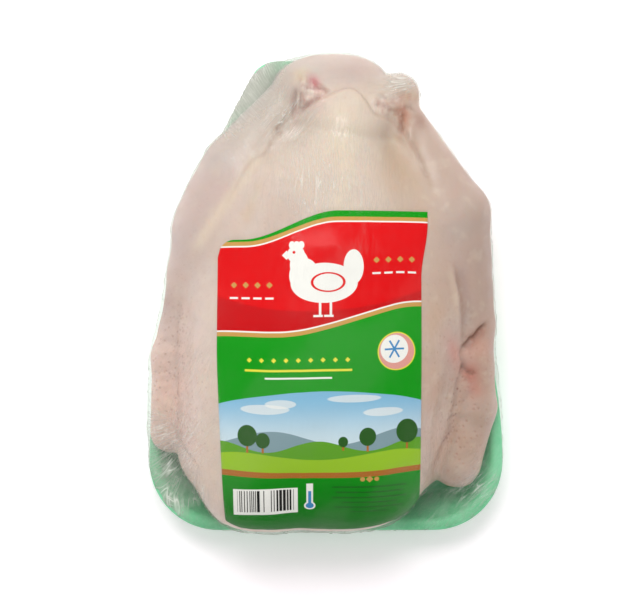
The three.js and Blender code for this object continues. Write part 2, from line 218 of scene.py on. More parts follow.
def noise(places, seed):
    """Smooth random values from -1 to 1, with one feature for each step of the places."""
    shape = [int(p.max()) + 3 for p in places]
    lattice = np.random.default_rng(seed).uniform(-1, 1, shape).astype(FLOAT)
    return interpolate(lattice, places, eased=True).astype(FLOAT)


def noise_at(points, size, seed):
    """Smooth random values in space, with features of the given size."""
    places = points / size
    return noise((places - places.min(0) + 1).T, seed)


def turned(x, y, degrees):
    """Plan places in axes that are turned by an angle."""
    cos, sin = math.cos(math.radians(degrees)), math.sin(math.radians(degrees))
    return x * cos + y * sin, y * cos - x * sin


# ---- tray

def arc(centre, radius, first, last, steps):
    angles = np.linspace(first, last, steps, endpoint=False)
    return np.stack([centre[0] + radius * np.cos(angles), centre[1] + radius * np.sin(angles)], 1)


def bezier(points, steps):
    t = np.linspace(0, 1, steps, endpoint=False)[:, None]
    a, b, c, d = (np.array(p, float) for p in points)
    return (1 - t) ** 3 * a + 3 * (1 - t) ** 2 * t * b + 3 * (1 - t) * t * t * c + t ** 3 * d


def evenly(points, count):
    """The polyline's points again, count + 1 of them, evenly spaced along it."""
    lengths = np.concatenate([[0], np.cumsum(np.linalg.norm(np.diff(points, axis=0), axis=1))])
    at = np.linspace(0, lengths[-1], count + 1)
    return np.stack([np.interp(at, lengths, points[:, i]) for i in (0, 1)], 1)


def outline(inset, half_count):
    """The tray's plan outline pulled in by inset, as a ring of 2 * half_count points."""
    length, far = TRAY_HALF_LENGTH - inset, TRAY_TOP - inset
    wide, narrow = TRAY_HALF_WIDE - inset, TRAY_HALF_NARROW - inset
    wide_r = TRAY_WIDE_CORNER - 0.6 * inset
    narrow_r = TRAY_NARROW_CORNER - 0.4 * inset
    lean = TRAY_SIDE_LEAN
    top = (narrow - narrow_r + narrow_r * math.cos(lean),
           far - narrow_r + narrow_r * math.sin(lean))
    side = bezier([
        (wide, wide_r - length),
        (wide, wide_r - length + TRAY_SIDE_PULL),
        (top[0] + TRAY_CORNER_PULL * math.sin(lean), top[1] - TRAY_CORNER_PULL * math.cos(lean)),
        top,
    ], 60)
    right = np.concatenate([
        [(0, -length)],
        arc((wide - wide_r, wide_r - length), wide_r, -math.pi / 2, 0, 30),
        side,
        arc((narrow - narrow_r, far - narrow_r), narrow_r, lean, math.pi / 2, 16),
        [(narrow - narrow_r, far), (0, far)],
    ])
    right = evenly(right, half_count)
    ring = np.concatenate([right, right[-2:0:-1] * (-1, 1)])
    share = np.maximum(ring[:, 1] - TRAY_SKEW_FROM, 0) / (TRAY_TOP - TRAY_SKEW_FROM)
    ring[:, 0] += TRAY_SKEW * share ** 2
    return ring


class PlanMap:
    """The points of a plan grid, and a way to read values on it between its points."""

    def __init__(self):
        axes = [np.arange(low, MAP_STEP - low, MAP_STEP, dtype=FLOAT) for low in MAP_LOW]
        self.x, self.y = np.meshgrid(*axes, indexing="ij")

    def read(self, values, x, y):
        return look_up(values, MAP_LOW, MAP_STEP, (x, y))


def from_segment(a, b, x, y):
    """Distances in plan to the segment from a to b, and the shares of it that are nearest."""
    ex, ey = b - a
    share = np.clip(((x - a[0]) * ex + (y - a[1]) * ey) / (ex * ex + ey * ey), 0, 1)
    return np.hypot(x - a[0] - share * ex, y - a[1] - share * ey), share


def signed_distance(ring, x, y):
    """Signed distance in plan to a closed ring of points, negative inside."""
    nearest = np.full(x.shape, 1e9, FLOAT)
    inside = np.zeros(x.shape, bool)
    for a, b in zip(ring, np.roll(ring, -1, 0)):
        nearest = np.minimum(nearest, from_segment(a, b, x, y)[0])
        if a[1] != b[1]:
            crossing = (a[1] > y) != (b[1] > y)
            inside ^= crossing & (x < a[0] + (y - a[1]) / (b[1] - a[1]) * (b[0] - a[0]))
    return np.where(inside, -nearest, nearest).astype(FLOAT)


PLAN = PlanMap()
RIM_MAP = signed_distance(outline(0, 60), PLAN.x, PLAN.y)


# ---- the bird

def leg_field(x, y, z, hock, shin, knee, hip, radii, knob, thigh):
    leg = limb(x, y, z, hock, shin, radii[0], radii[1])
    for shape, sizes, blend in (
        (limb, (shin, knee, radii[1], radii[2]), BLEND_BEND),
        (limb, (knee, hip, radii[2] - 3, radii[3]), BLEND_KNEE),
        (pod, (hock, knob), BLEND_BEND),
        (pod, thigh, BLEND_THIGH),
    ):
        leg = smooth_min(leg, shape(x, y, z, *sizes), blend)
    return leg


def wing_field(x, y, z, shoulder, elbow, middle, tip, radii):
    wing = limb(x, y, z, elbow, middle, radii[1], radii[2])
    wing = smooth_min(wing, limb(x, y, z, middle, tip, radii[2], radii[3]), BLEND_BEND)
    return smooth_min(wing, limb(x, y, z, shoulder, elbow, radii[0], radii[1]), BLEND_BEND)


def bird_field(x, y, z):
    """Distance to the bird, shaped by the tray that it lies in."""
    bird = pod(x, y, z, **BREAST)
    for shape, sizes, blend in (
        (pod, BELLY, BLEND_BREAST), (limb, KEEL, BLEND_KEEL), (pod, BACK, BLEND_BACK),
        (pod, LEFT_SHOULDER, BLEND_SHOULDER),
        (leg_field, LEFT_LEG, BLEND_LEG), (leg_field, RIGHT_LEG, BLEND_LEG),
        (wing_field, LEFT_WING, BLEND_LEFT_WING), (wing_field, RIGHT_WING, BLEND_RIGHT_WING),
        (pod, TAIL, BLEND_TAIL), (pod, VENT_SKIN, BLEND_TAIL),
    ):
        bird = smooth_min(bird, shape(x, y, z, **sizes), blend)
    below_rim = RIM - z
    wall = PLAN.read(RIM_MAP, x, y) + WALL_THICKNESS + WALL_GAP + WALL_SLOPE * below_rim
    tray = np.maximum(TRAY_FLOOR + FLOOR_GAP - z, np.minimum(below_rim, wall))
    return smooth_max(bird, tray, BLEND_TRAY)


class Grid:
    """A field sampled on a box grid, worked out only near the surface it describes."""

    def __init__(self, field, low, high, step, coarse=4, band=9.0):
        self.low, self.step = np.array(low, FLOAT), step
        counts = [int(math.ceil((h - l) / (step * coarse))) * coarse + 1 for l, h in zip(low, high)]
        axes = [l + step * np.arange(count, dtype=FLOAT) for l, count in zip(low, counts)]
        values = field(*np.meshgrid(*(a[::coarse] for a in axes), indexing="ij"))
        for axis, count in enumerate(counts):
            gaps = np.arange(count)[:, None] / coarse - np.arange(values.shape[axis])
            shares = np.maximum(1 - np.abs(gaps), 0)
            values = np.moveaxis(np.tensordot(shares, values, (1, axis)), 0, axis)
        near = np.abs(values) < band
        values[near] = field(*(a[i] for a, i in zip(axes, np.nonzero(near))))
        self.values = values.astype(FLOAT)

    def read(self, points):
        """The field at points of shape (n, 3)."""
        return look_up(self.values, self.low, self.step, points.T)

    def normals(self, points):
        return unit(slope(self.read, points, self.step)).astype(FLOAT)


def unit(v):
    return v / np.maximum(np.linalg.norm(v, axis=1, keepdims=True), 1e-9)


def surface_net(grid):
    """The grid's zero surface: a vertex for each cell that it crosses, a quad for each edge."""
    shape = [n - 1 for n in grid.values.shape]
    total, crossings = np.zeros((math.prod(shape), 3)), np.zeros(math.prod(shape))
    rings = []
    for axis, count in enumerate(shape):
        first, second = (np.take(grid.values, range(i, count + i), axis) for i in (0, 1))
        edges = np.stack(np.nonzero((first < 0) != (second < 0)), 1)
        a, b = first[tuple(edges.T)], second[tuple(edges.T)]
        u, v = np.roll(np.eye(3, dtype=int), -axis - 1, 0)[:2]
        cells = [edges - shift for shift in (u + v, v, 0 * u, u)]
        ring = np.stack([np.ravel_multi_index(cell.T, shape) for cell in cells], 1)
        middles = edges + np.eye(3)[axis] * (a / (a - b))[:, None]
        np.add.at(total, ring, middles[:, None])
        np.add.at(crossings, ring, 1)
        rings.append(np.where((a < 0)[:, None], ring, ring[:, ::-1]))
    used, quads = np.unique(np.concatenate(rings), return_inverse=True)
    vertices = grid.low + total[used] / crossings[used, None] * grid.step
    return vertices.astype(FLOAT), quads.reshape(-1, 4)


# ---- folds in plan view
# Lines in millimetres over the tray. Each is drawn as a smooth curve.

BREAST_TIP = [
    (-15.3, 80), (-12, 83.3), (-8.3, 85.8), (-4.2, 88.4), (-0.5, 90.2), (3.6, 92.3), (6.9, 93.7),
    (10.2, 94.6), (13, 93.9), (15.3, 92.5), (17.1, 90.2), (19, 87.9), (20.8, 84.9), (22.5, 82.6),
    (25, 81.2), (27.8, 80.6), (30.5, 78.7), (32.9, 76.4), (36, 73.3),
]
LEFT_OPENING = [(-12.5, 103.2), (-7.4, 100.4), (0.5, 94.9), (2.3, 92.5), (-4.2, 88.4), (-15.3, 80)]
RIGHT_OPENING = [
    (21.3, 89.3), (27.3, 92.5), (36.1, 93.5), (42.6, 91.6), (43.5, 87), (39.3, 83.3), (38.4, 77.3),
    (36.1, 73.6), (32.4, 76.8), (27.8, 80.5), (22.7, 83.3),
]
CREASES = [
    # (points, depth, half width)
    ([(-15.5, 81.5), (-21, 77), (-23, 75), (-27.2, 65), (-33.5, 61.5), (-39, 53), (-48.5, 34.5)],
     0.35, 1.3),
    ([(36.5, 75), (38.7, 69.6), (42.3, 63.3), (45, 56), (47.7, 52.6)], 0.55, 1.2),
    (BREAST_TIP, 0.5, 0.9),
    ([(-13.8, 94), (-14.4, 89), (-15.4, 80.5)], 1.3, 0.9),
    ([(-12.2, 92.5), (-12, 87.5), (-12.6, 83.5)], 0.7, 0.6),
    ([(-12.5, 83.3), (-7.9, 87.6), (-1.9, 91.4)], 0.9, 0.8),
    ([(-12, 96.5), (-8, 94.6), (-3, 95), (1, 93)], 0.6, 0.8),
    ([(-11, 90.5), (-7.5, 91.2), (-4.5, 90.2)], 0.4, 0.6),
    ([(-24, 77), (-21.8, 74.6), (-20, 72.5)], 0.5, 0.9),
    ([(-17.5, 84), (-20, 79.5), (-22.5, 76)], 0.7, 0.7),
    ([(36.2, 83), (35.2, 80), (34, 77), (34.7, 73.5)], 1.0, 1.1),
    ([(36.6, 85), (39, 85.6), (41, 84)], 0.7, 0.8),
    ([(22, 87), (26, 86.5), (29.5, 84), (33, 82.5)], 0.6, 0.8),
    ([(24, 91), (29, 89.5), (34, 89.8)], 0.5, 0.7),
    ([(58.5, 13.5), (62.2, -2), (63.2, -17), (63.9, -25.5)], 0.8, 1.2),
    ([(62.5, -26.7), (65.5, -24.2), (67.5, -21.4), (69.4, -20.6), (71.4, -17.5), (73, -16.2),
      (75, -14)], 2.4, 1.2),
    ([(63.9, -25.7), (62.6, -29.5), (63.8, -34), (61.2, -42), (60.1, -51.6), (58.2, -59),
      (57.4, -65.4), (54, -72), (51.2, -79), (49.5, -86.5)], 0.8, 1.3),
    ([(63, -33.5), (65.6, -36.6), (69.5, -38.4)], 1.2, 0.9),
    ([(-67, -1), (-69.2, -17.6), (-69.6, -40), (-68.7, -51), (-67.7, -76)], 0.3, 1.4),
]
RIDGES = [
    # (points, height, half width)
    ([(-34.3, 63), (-43, 49), (-49.2, 34.6), (-57.2, 22.8), (-62, 17)], 0.45, 2.8),
    ([(10.5, 90), (9, 74), (6, 55), (3, 35)], 0.4, 5.0),
    ([(-22, 76), (-26, 70), (-30.5, 61)], 0.5, 1.4),
    ([(-13.2, 94.5), (-13, 89), (-13.9, 82.5)], 0.9, 0.5),
    ([(-10.5, 88), (-6.5, 90), (-2, 93)], 0.9, 2.2),
    ([(-9, 100), (-10.5, 95), (-11, 92)], 0.6, 1.4),
    ([(-16.5, 87), (-19, 81.5), (-21.6, 77.5)], 0.7, 0.7),
    ([(-18.6, 86), (-21.2, 80), (-24, 75)], 0.5, 0.8),
    ([(38.4, 88), (37.5, 83), (36.2, 78)], 0.7, 0.7),
    ([(21.4, 89.5), (23.6, 83.7)], 0.5, 0.9),
    ([(28, 90.5), (32, 88), (34, 84.5)], 0.6, 1.4),
    ([(38.2, 77), (38.9, 70.5), (41.5, 60)], 0.5, 0.8),
    ([(45, 80.5), (46.4, 75.5), (51.4, 68), (53.7, 65.3)], 0.35, 0.8),
    ([(59.5, -22), (60.5, -32), (59.5, -40)], 0.5, 1.6),
    ([(67, -27), (66, -32), (68.4, -35)], 0.7, 1.8),
    ([(56, 11), (59, -2), (60, -16)], 0.4, 1.6),
]
# Small unevenness: height, then the sizes of its features, seed and turn.
LUMPS = [(0.28, 9, 9, 1), (0.14, 4, 4, 2), (0.05, 1.6, 1.6, 3)]
PUCKERS = [(0.3, 3.4, 2.4, 4, 20), (0.16, 1.8, 1.5, 7)]  # on the wings
TENDONS = [(0.12, 1.8, 4, 5, -30), (0.2, 3.2, 3.2, 6)]  # in the openings


def smooth_line(points, steps=8):
    """A Catmull-Rom curve through the points."""
    p = np.array(points, float)
    p = np.concatenate([[2 * p[0] - p[1]], p, [2 * p[-1] - p[-2]]])
    t = np.linspace(0, 1, steps, endpoint=False)[:, None]
    spans = [
        0.5 * (2 * b + (c - a) * t + (2 * a - 5 * b + 4 * c - d) * t ** 2
               + (3 * b - a - 3 * c + d) * t ** 3)
        for a, b, c, d in zip(p, p[1:], p[2:], p[3:])
    ]
    return np.concatenate(spans + [p[-2:-1]])


def distance_to_line(line, x, y):
    """Distance in plan to a line, and the share of its length where it is nearest."""
    nearest = np.full(x.shape, 1e9, FLOAT)
    share = np.zeros(x.shape, FLOAT)
    for i, (a, b) in enumerate(zip(line, line[1:])):
        distance, t = from_segment(a, b, x, y)
        share = np.where(distance < nearest, (i + t) / (len(line) - 1), share)
        nearest = np.minimum(distance, nearest)
    return nearest, share


def line_map(points, size, half_width):
    """A plan map of a ridge along a line, which dies away at both of its ends."""
    distance, share = distance_to_line(smooth_line(points), PLAN.x, PLAN.y)
    ends = smooth_step(0, FOLD_ENDS, share) * smooth_step(0, FOLD_ENDS, 1 - share)
    return size * np.exp(-(distance / half_width) ** 2) * (FOLD_LEAST + (1 - FOLD_LEAST) * ends)


def plan_noise(scale_x, scale_y, seed, turn=0.0):
    """Smooth random values over the plan, with features of the given sizes."""
    places = zip(turned(PLAN.x, PLAN.y, turn), (scale_x, scale_y))
    return noise([p / scale - (p / scale).min() + 1 for p, scale in places], seed)


def spot(x, y, centre, radii, turn=0.0):
    """A soft round patch in plan, 1 in its middle."""
    across, along = turned(x - centre[0], y - centre[1], turn)
    return np.exp(-((across / radii[0]) ** 2 + (along / radii[1]) ** 2)).astype(FLOAT)


def plan_spot(*shape):
    return spot(PLAN.x, PLAN.y, *shape)


def openings():
    """How far each point of the plan is inside the two cut openings, from 0 to 1."""
    shares = []
    for ring, width in ((LEFT_OPENING, 2.2), (RIGHT_OPENING, 2.5)):
        edge = smooth_line(ring + ring[:1], 5)[:-1]
        shares.append(smooth_step(0.3, -width, signed_distance(edge, PLAN.x, PLAN.y)))
    return shares


def breast_step():
    """The drop at the breast's tip, as a plan map."""
    breast = np.array(BREAST_TIP + [(60, 30), (-45, 30)], float)
    outside = signed_distance(breast, PLAN.x, PLAN.y)
    near, _ = distance_to_line(np.array(BREAST_TIP), PLAN.x, PLAN.y)
    drop = smooth_step(-0.5, 0.7, outside) * np.exp(-(np.maximum(outside, 0) / 7) ** 2)
    return -BREAST_DROP * drop * smooth_step(12, 4, near)


def skin_relief():
    """Height of the skin's folds over the smooth bird, as a plan map."""
    relief = -sum(line_map(*crease) for crease in CREASES)
    relief = relief + sum(line_map(*ridge) for ridge in RIDGES)
    left, right = openings()
    relief = relief + breast_step() - LEFT_CUT * left - RIGHT_CUT * right
    wings = np.maximum(plan_spot((62, -58), (13, 34), 12), plan_spot((-74, -45), (12, 40), 2))
    for rows, share in ((LUMPS, 1), (PUCKERS, wings), (TENDONS, left + right)):
        relief = relief + share * sum(size * plan_noise(*pattern) for size, *pattern in rows)
    return relief.astype(FLOAT)


# ---- mesh helpers

def make_mesh(name, vertices, faces, smooth=True):
    """A mesh object from millimetre vertices and a quad or triangle array."""
    mesh = bpy.data.meshes.new(name)
    faces = np.asarray(faces)
    sides = faces.shape[1]
    mesh.vertices.add(len(vertices))
    mesh.vertices.foreach_set("co", (np.asarray(vertices, float) * MM).ravel())
    mesh.loops.add(faces.size)
    mesh.loops.foreach_set("vertex_index", faces.ravel().astype(np.int32))
    mesh.polygons.add(len(faces))
    mesh.polygons.foreach_set("loop_start", np.arange(0, faces.size, sides, dtype=np.int32))
    mesh.polygons.foreach_set("use_smooth", np.full(len(faces), smooth))
    mesh.update(calc_edges=True)
    mesh.validate()
    piece = bpy.data.objects.new(name, mesh)
    bpy.context.scene.collection.objects.link(piece)
    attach(piece, "root")
    return piece


def set_attribute(piece, name, values):
    """Stores one number or one colour for each vertex."""
    values = np.asarray(values, FLOAT)
    if values.ndim == 1:
        layer = piece.data.attributes.new(name, "FLOAT", "POINT")
        layer.data.foreach_set("value", values)
    else:
        layer = piece.data.attributes.new(name, "FLOAT_COLOR", "POINT")
        layer.data.foreach_set("color", np.c_[values, np.ones(len(values))].ravel())


def neighbour_table(quads, count):
    """The vertices joined to each vertex by an edge, as flat arrays for averaging."""
    pairs = np.concatenate([quads[:, [i, (i + 1) % 4]] for i in range(4)])
    pairs = np.unique(np.sort(pairs, 1), axis=0)
    both = np.concatenate([pairs, pairs[:, ::-1]])
    return both[:, 0], both[:, 1], np.bincount(both[:, 0], minlength=count).astype(FLOAT)


def sum_by(number, vectors, count):
    """For each number below count, the sum of the vectors that carry it."""
    return np.stack([np.bincount(number, weights=row, minlength=count) for row in vectors.T], 1)


def relaxed(points, table):
    """The points, each halfway to the mean of its neighbours."""
    source, target, degree = table
    mean = sum_by(source, points[target], len(degree)) / degree[:, None]
    return points + 0.5 * (mean.astype(FLOAT) - points)


def vertex_normals(points, quads):
    a, b, c, d = (points[quads[:, i]] for i in range(4))
    facing = np.repeat(np.cross(c - a, d - b), 4, axis=0)
    return unit(sum_by(quads.ravel(), facing, len(points))).astype(FLOAT)


def grid_quads(rows, columns):
    """The quads between the points of a grid, which are numbered row by row."""
    i, j = np.meshgrid(range(rows), range(columns), indexing="ij")
    a = (i * (columns + 1) + j).ravel()
    return np.stack([a, a + columns + 1, a + columns + 2, a + 1], 1)


def linear(red, green, blue):
    """A screen colour from 0 to 255 as the light it stands for."""
    c = np.array([red, green, blue]) / 255
    return np.where(c <= 0.04045, c / 12.92, ((c + 0.055) / 1.055) ** 2.4)


# ---- node helpers

class Value:
    """The output of a node. Numbers can be reckoned with by the usual signs."""

    def __init__(self, nodes, socket):
        self.nodes, self.socket = nodes, socket

    def sign(operation):
        """A method that sets up the node for an operation."""
        return lambda *values: values[0].nodes.math(operation, *values)

    __add__, __sub__, __mul__ = sign("ADD"), sign("SUBTRACT"), sign("MULTIPLY")
    __truediv__, __pow__, __abs__ = sign("DIVIDE"), sign("POWER"), sign("ABSOLUTE")
    sine, root, floor = sign("SINE"), sign("SQRT"), sign("FLOOR")

    def __rsub__(self, other):
        return self.nodes.math("SUBTRACT", other, self)

    def clamped(self):
        self.socket.node.use_clamp = True
        return self


class Nodes:
    """A short way to write the node tree of a material, or of the world."""

    def __init__(self, name, library=bpy.data.materials):
        self.owner = library.new(name)
        self.owner.use_nodes = True
        self.tree = self.owner.node_tree
        self.tree.nodes.clear()

    def add(self, kind, output=0, settings=None, **inputs):
        """A node's output. Its inputs are given by name, or by number as i0, i1 and so on."""
        node = self.tree.nodes.new("ShaderNode" + kind)
        for key, value in (settings or {}).items():
            setattr(node, key, value)
        for key, value in inputs.items():
            socket = node.inputs[int(key[1:]) if key[1:].isdigit() else key.replace("_", " ")]
            if isinstance(value, Value):
                self.tree.links.new(value.socket, socket)
            else:
                socket.default_value = (*value, 1) if socket.type == "RGBA" else value
        return Value(self, node.outputs[output])

    def attribute(self, name, output=2):
        return self.add("Attribute", output, dict(attribute_name=name))

    def math(self, operation, *values):
        inputs = {f"i{i}": value for i, value in enumerate(values)}
        return self.add("Math", settings=dict(operation=operation), **inputs)

    def mix(self, factor, a, b):
        return self.add("Mix", 2, dict(data_type="RGBA"), i0=factor, i6=a, i7=b)

    def ramp(self, value, low, high, to_low=0.0, to_high=1.0):
        """Eases from to_low to to_high while the value goes from low to high."""
        return self.add("MapRange", settings=dict(interpolation_type="SMOOTHSTEP"),
                        i0=value, i1=low, i2=high, i3=to_low, i4=to_high)

    def finish(self, shader, output="OutputMaterial"):
        out = self.tree.nodes.new("ShaderNode" + output)
        self.tree.links.new(shader.socket, out.inputs["Surface"])
        return self.owner


# ---- the film

def filled_tray(p):
    """Distance to the tray as if it were solid up to its rim."""
    rim = PLAN.read(RIM_MAP, p[:, 0], p[:, 1])
    wall = rim + WALL_SLOPE * np.maximum(RIM - p[:, 2], 0)
    return np.maximum(np.maximum(wall, p[:, 2] - RIM), -p[:, 2])


def film_field(x, y, z):
    """The stretched film: bird and filled tray, with a hollow curve between them."""
    tray = filled_tray(np.stack([x, y, z], -1).reshape(-1, 3)).reshape(x.shape)
    film = smooth_min(bird_field(x, y, z), tray, BLEND_FILM)
    past_sides = np.abs(x) - (TRAY_HALF_WIDE + FILM_PROUD)
    past_ends = np.abs(y) - (TRAY_HALF_LENGTH + FILM_PROUD)
    return np.maximum(film, np.maximum(past_sides, past_ends))


def cube_ball(cells):
    """Points on a unit sphere and quads over them, from the six faces of a cube."""
    t = np.tan(np.linspace(-1, 1, cells + 1) * math.pi / 4)
    a, b = np.meshgrid(t, t, indexing="ij")
    one = np.ones_like(a)
    patches = [(one, a, b), (-one, b, a), (b, one, a), (a, -one, b), (a, b, one), (b, a, -one)]
    points = np.concatenate([np.stack(p, -1).reshape(-1, 3) for p in patches])
    quads = np.concatenate([grid_quads(cells, cells) + k * a.size for k in range(len(patches))])
    _, keep, number = np.unique(np.round(points, 6), axis=0, return_index=True, return_inverse=True)
    return unit(points[keep]), number.ravel()[quads]


def march(grid, start, inward, level, reach):
    """Moves points along their directions until the field falls to level."""
    walked = np.zeros(len(start), FLOAT)
    for _ in range(MARCH_ROUNDS):
        distance = grid.read(start + inward * walked[:, None]) - level
        walked = np.minimum(walked + np.maximum(MARCH_PACE * distance, 0), reach)
    return start + inward * walked[:, None]


def push_out(points, bird_grid):
    """Moves points that have sunk into the bird, the tray or the table back out of them."""
    for field, clearance, step in (
        (bird_grid.read, FILM_CLEARANCE, bird_grid.step), (filled_tray, FILM_FROM_TRAY, 0.4),
    ):
        depth = clearance - field(points)
        sunk = depth > 0
        points[sunk] += unit(slope(field, points[sunk], step)) * depth[sunk, None]
    points[:, 2] = np.maximum(points[:, 2], FILM_FROM_TABLE)
    return points


def fan(centre, spokes, length, seed):
    """Random values on spokes that spread from a centre: long outwards, narrow across."""
    dx, dy = PLAN.x - centre[0], PLAN.y - centre[1]
    angle = np.arctan2(dy, dx) / (2 * math.pi) + 0.5
    return noise([angle * spokes + 1, np.hypot(dx, dy) / length + 1], seed)


def ridged(values, sharpness):
    """Turns smooth noise into thin crests along its zero lines."""
    return (1 - np.minimum(np.abs(values) * 1.6, 1)) ** sharpness


# Where the film gathers: its shape in plan (centre, radii, turn), the way its streaks run,
# the haze and the strength of the streaks. They run along a direction, in degrees from +Y
# towards +X, or spread from a point.
GATHERS = dict(
    low_left=(((-82, -88), (28, 31)), (-54, -62), 0.26, 1.1),
    low_right=(((66, -99), (32, 20)), 42, 0.05, 0.8),
    top_left=(((-42, 102), (20, 29), -30), -32, 0.98, 0.5),
    left_hock=(((-17, 82), (12, 12)), 40, 0.05, 0.4),
    # painted highlight: over the right hock the film's haze stands in for a whitish glare
    hock_cap=(((33, 97), (10, 7), -12), 75, 0.34, 0.6),
    breast=(((0, 45), (24, 30)), 3, 0.02, 0.8),
    left_flank=(((-58, -52), (16, 30)), 28, 0, 0.4),
    right_flank=(((52, -50), (8, 50)), -6, 0, 0.15),
)
SHOULDER, SHOULDER_OUT = (-66, -74), (-0.849, -0.528)  # the bird's edge, and the way out
FANS = [
    # (centre, spokes, length of a crest, seed), sharpness: crests of the gather low_left
    (((-54, -62), 60, 34, 11), 2),
    (((-46, -74), 44, 40, 12), 3),
]
CRESTS = [
    # gather, height, (width and length of a crest, seed, turn), sharpness
    ("low_left", 0.9, (6, 26, 26, 48), 4),
    ("low_right", 1.1, (6, 18, 13, -40), 4),
    ("top_left", 0.8, (4.5, 26, 15, -30), 2),
    ("hock_cap", 0.9, (4.5, 6, 16, 30), 2),
    ("left_hock", 0.5, (4.5, 7, 23, -35), 2),
]


def streak_places(x, y):
    """Across and along the film's streaks at plan points, in millimetres."""
    strongest = np.full(x.shape, STREAK_REACH)
    across, along = x, y
    for shape, way, _, _ in GATHERS.values():
        strength = spot(x, y, *shape)
        if isinstance(way, tuple):
            dx, dy = x - way[0], y - way[1]
            u, v = np.arctan2(dx, -dy) * STREAK_RADIUS, np.hypot(dx, dy)
        else:
            u, v = turned(x, y, -way)
        closer = strength > strongest
        strongest, across, along = (
            np.where(closer, *pair) for pair in ((strength, strongest), (u, across), (v, along)))
    return across + STREAK_BEND * PLAN.read(plan_noise(15, 15, 24), x, y), along


def film_wrinkles():
    """Plan maps of the film: height, even haze with a painted sheen over the label, and the
    strength of its fine streaks.
    """
    g = {name: plan_spot(*row[0]) for name, row in GATHERS.items()}
    crests = sum(ridged(fan(*spokes), sharpness) for spokes, sharpness in FANS) * g["low_left"]
    for name, height, pattern, sharpness in CRESTS:
        crests += height * ridged(plan_noise(*pattern), sharpness) * g[name]
    crests *= smooth_step(1.5, -3, RIM_MAP)
    crossing = ridged(plan_noise(7, 60, 18, -52), 9) + ridged(plan_noise(9, 70, 19, 40), 9)
    crossing *= plan_spot((-5, -10), (55, 75))
    height = CREST_HEIGHT * crests + CROSSING_HEIGHT * crossing
    height += RIPPLE_HEIGHT * plan_noise(5, 11, 20)

    # The lower left gather is clear over the bird's shoulder and at one place beside it.
    past_shoulder = sum((a - middle) * out for a, middle, out in zip(
        (PLAN.x, PLAN.y), SHOULDER, SHOULDER_OUT))
    past_body = smooth_step(-6, 3, past_shoulder)
    clear = plan_spot((-61, -104), (10, 6), 35)
    g["low_left"] = g["low_left"] * (0.2 + 0.8 * past_body) * (1 - 0.95 * clear)
    patches = smooth_step(-0.3, 0.4, plan_noise(8, 11, 25, 30))
    haze = sum(row[2] * g[name] for name, row in GATHERS.items())
    haze += 0.002 + 0.12 * crests + 0.18 * patches * g["low_left"]
    streaks = sum(row[3] * g[name] for name, row in GATHERS.items()) * (0.25 + 0.75 * patches)

    on_label = label_cover(PLAN.x, PLAN.y)
    # Painted sheen: soft milky patches over the label stand in for glare on the film.
    painted_sheen = smooth_step(0.0, 0.6, plan_noise(15, 34, 27, -35))
    haze = haze * (1 - 0.95 * on_label) + (0.004 + 0.035 * painted_sheen) * on_label
    streaks = streaks * (1 - 0.75 * on_label) + 0.03
    return height, np.clip(haze, 0, 0.8), np.clip(streaks, 0, 1)


def label_top(u):
    """The label's wavy top edge in plan; u is -1 at its left side and 1 at its right."""
    wave = LABEL_TOP_Y + LABEL_RISE * smooth_step(LABEL_RISE_FROM, LABEL_RISE_TO, u)
    past = np.clip((LABEL_ROUND_FROM - u) / (1 + LABEL_ROUND_FROM), 0, 1)
    return wave - LABEL_ROUND * (1 - np.sqrt(1 - past ** 2))


def label_sides(v):
    """The label's middle and half width, at a share v of its length from the top."""
    left = LABEL_LEFT + LABEL_TAPER * smooth_step(0.5, 0.95, v)
    right = LABEL_RIGHT - LABEL_TAPER * smooth_step(0.05, 0.3, v)
    return (left + right) / 2, (right - left) / 2


def label_cover(x, y):
    """How far plan points are on the label, from 0 to 1."""
    middle, half = label_sides(np.clip((LABEL_ZERO_Y - y) / (LABEL_ZERO_Y - LABEL_BOTTOM_Y), 0, 1))
    u = (x - middle) / half
    outside = np.maximum((np.abs(u) - 1) * half, y - label_top(np.clip(u, -1, 1)))
    return smooth_step(2, -1, outside)


def build_film(bird_grid):
    grid = Grid(film_field, *FILM_BOX, 1.5 * GRID_STEP)
    ball, quads = cube_ball(FILM_CELLS)
    start, core = (
        (ball * sizes + FILM_MIDDLE).astype(FLOAT) for sizes in (FILM_START, FILM_CORE))
    reach = np.linalg.norm(core - start, axis=1)
    points = march(grid, start, unit(core - start), FILM_STOP, reach)
    table = neighbour_table(quads, len(points))
    for _ in range(FILM_ROUNDS):
        points = push_out(relaxed(points, table), bird_grid)
    normals = vertex_normals(points, quads)
    x, y, z = points.T
    up = smooth_step(0.05, 0.5, normals[:, 2])
    height, haze, streaks = (PLAN.read(values, x, y) for values in film_wrinkles())
    side_folds = ridged(noise_at(points * (1, 1, 0.18), 3.4, 21), 3) * (1 - up)
    side_folds = side_folds * smooth_step(1, 6, z)
    lift = np.where(z < 1, 0, height * up + SIDE_FOLD_HEIGHT * side_folds)
    points = points + normals * lift[:, None]
    film = make_mesh("film", points, quads)
    over_rim = smooth_step(-0.8, -0.2, normals[:, 2])
    set_attribute(film, "haze", haze * over_rim + (0.01 + 0.1 * side_folds) * (1 - up))
    set_attribute(film, "streak", streaks * (0.3 + 0.7 * up) + 0.2 * (1 - up))
    across, along = streak_places(x, y)
    across = np.where(up > 0.1, across, x + y)
    along = np.where(up > 0.1, along, points[:, 2])
    set_attribute(film, "place", np.stack([across, STREAK_LENGTH * along, 0 * along], 1))
    film.data.materials.append(film_material())
    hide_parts("wrapped_chicken")
    return points, quads


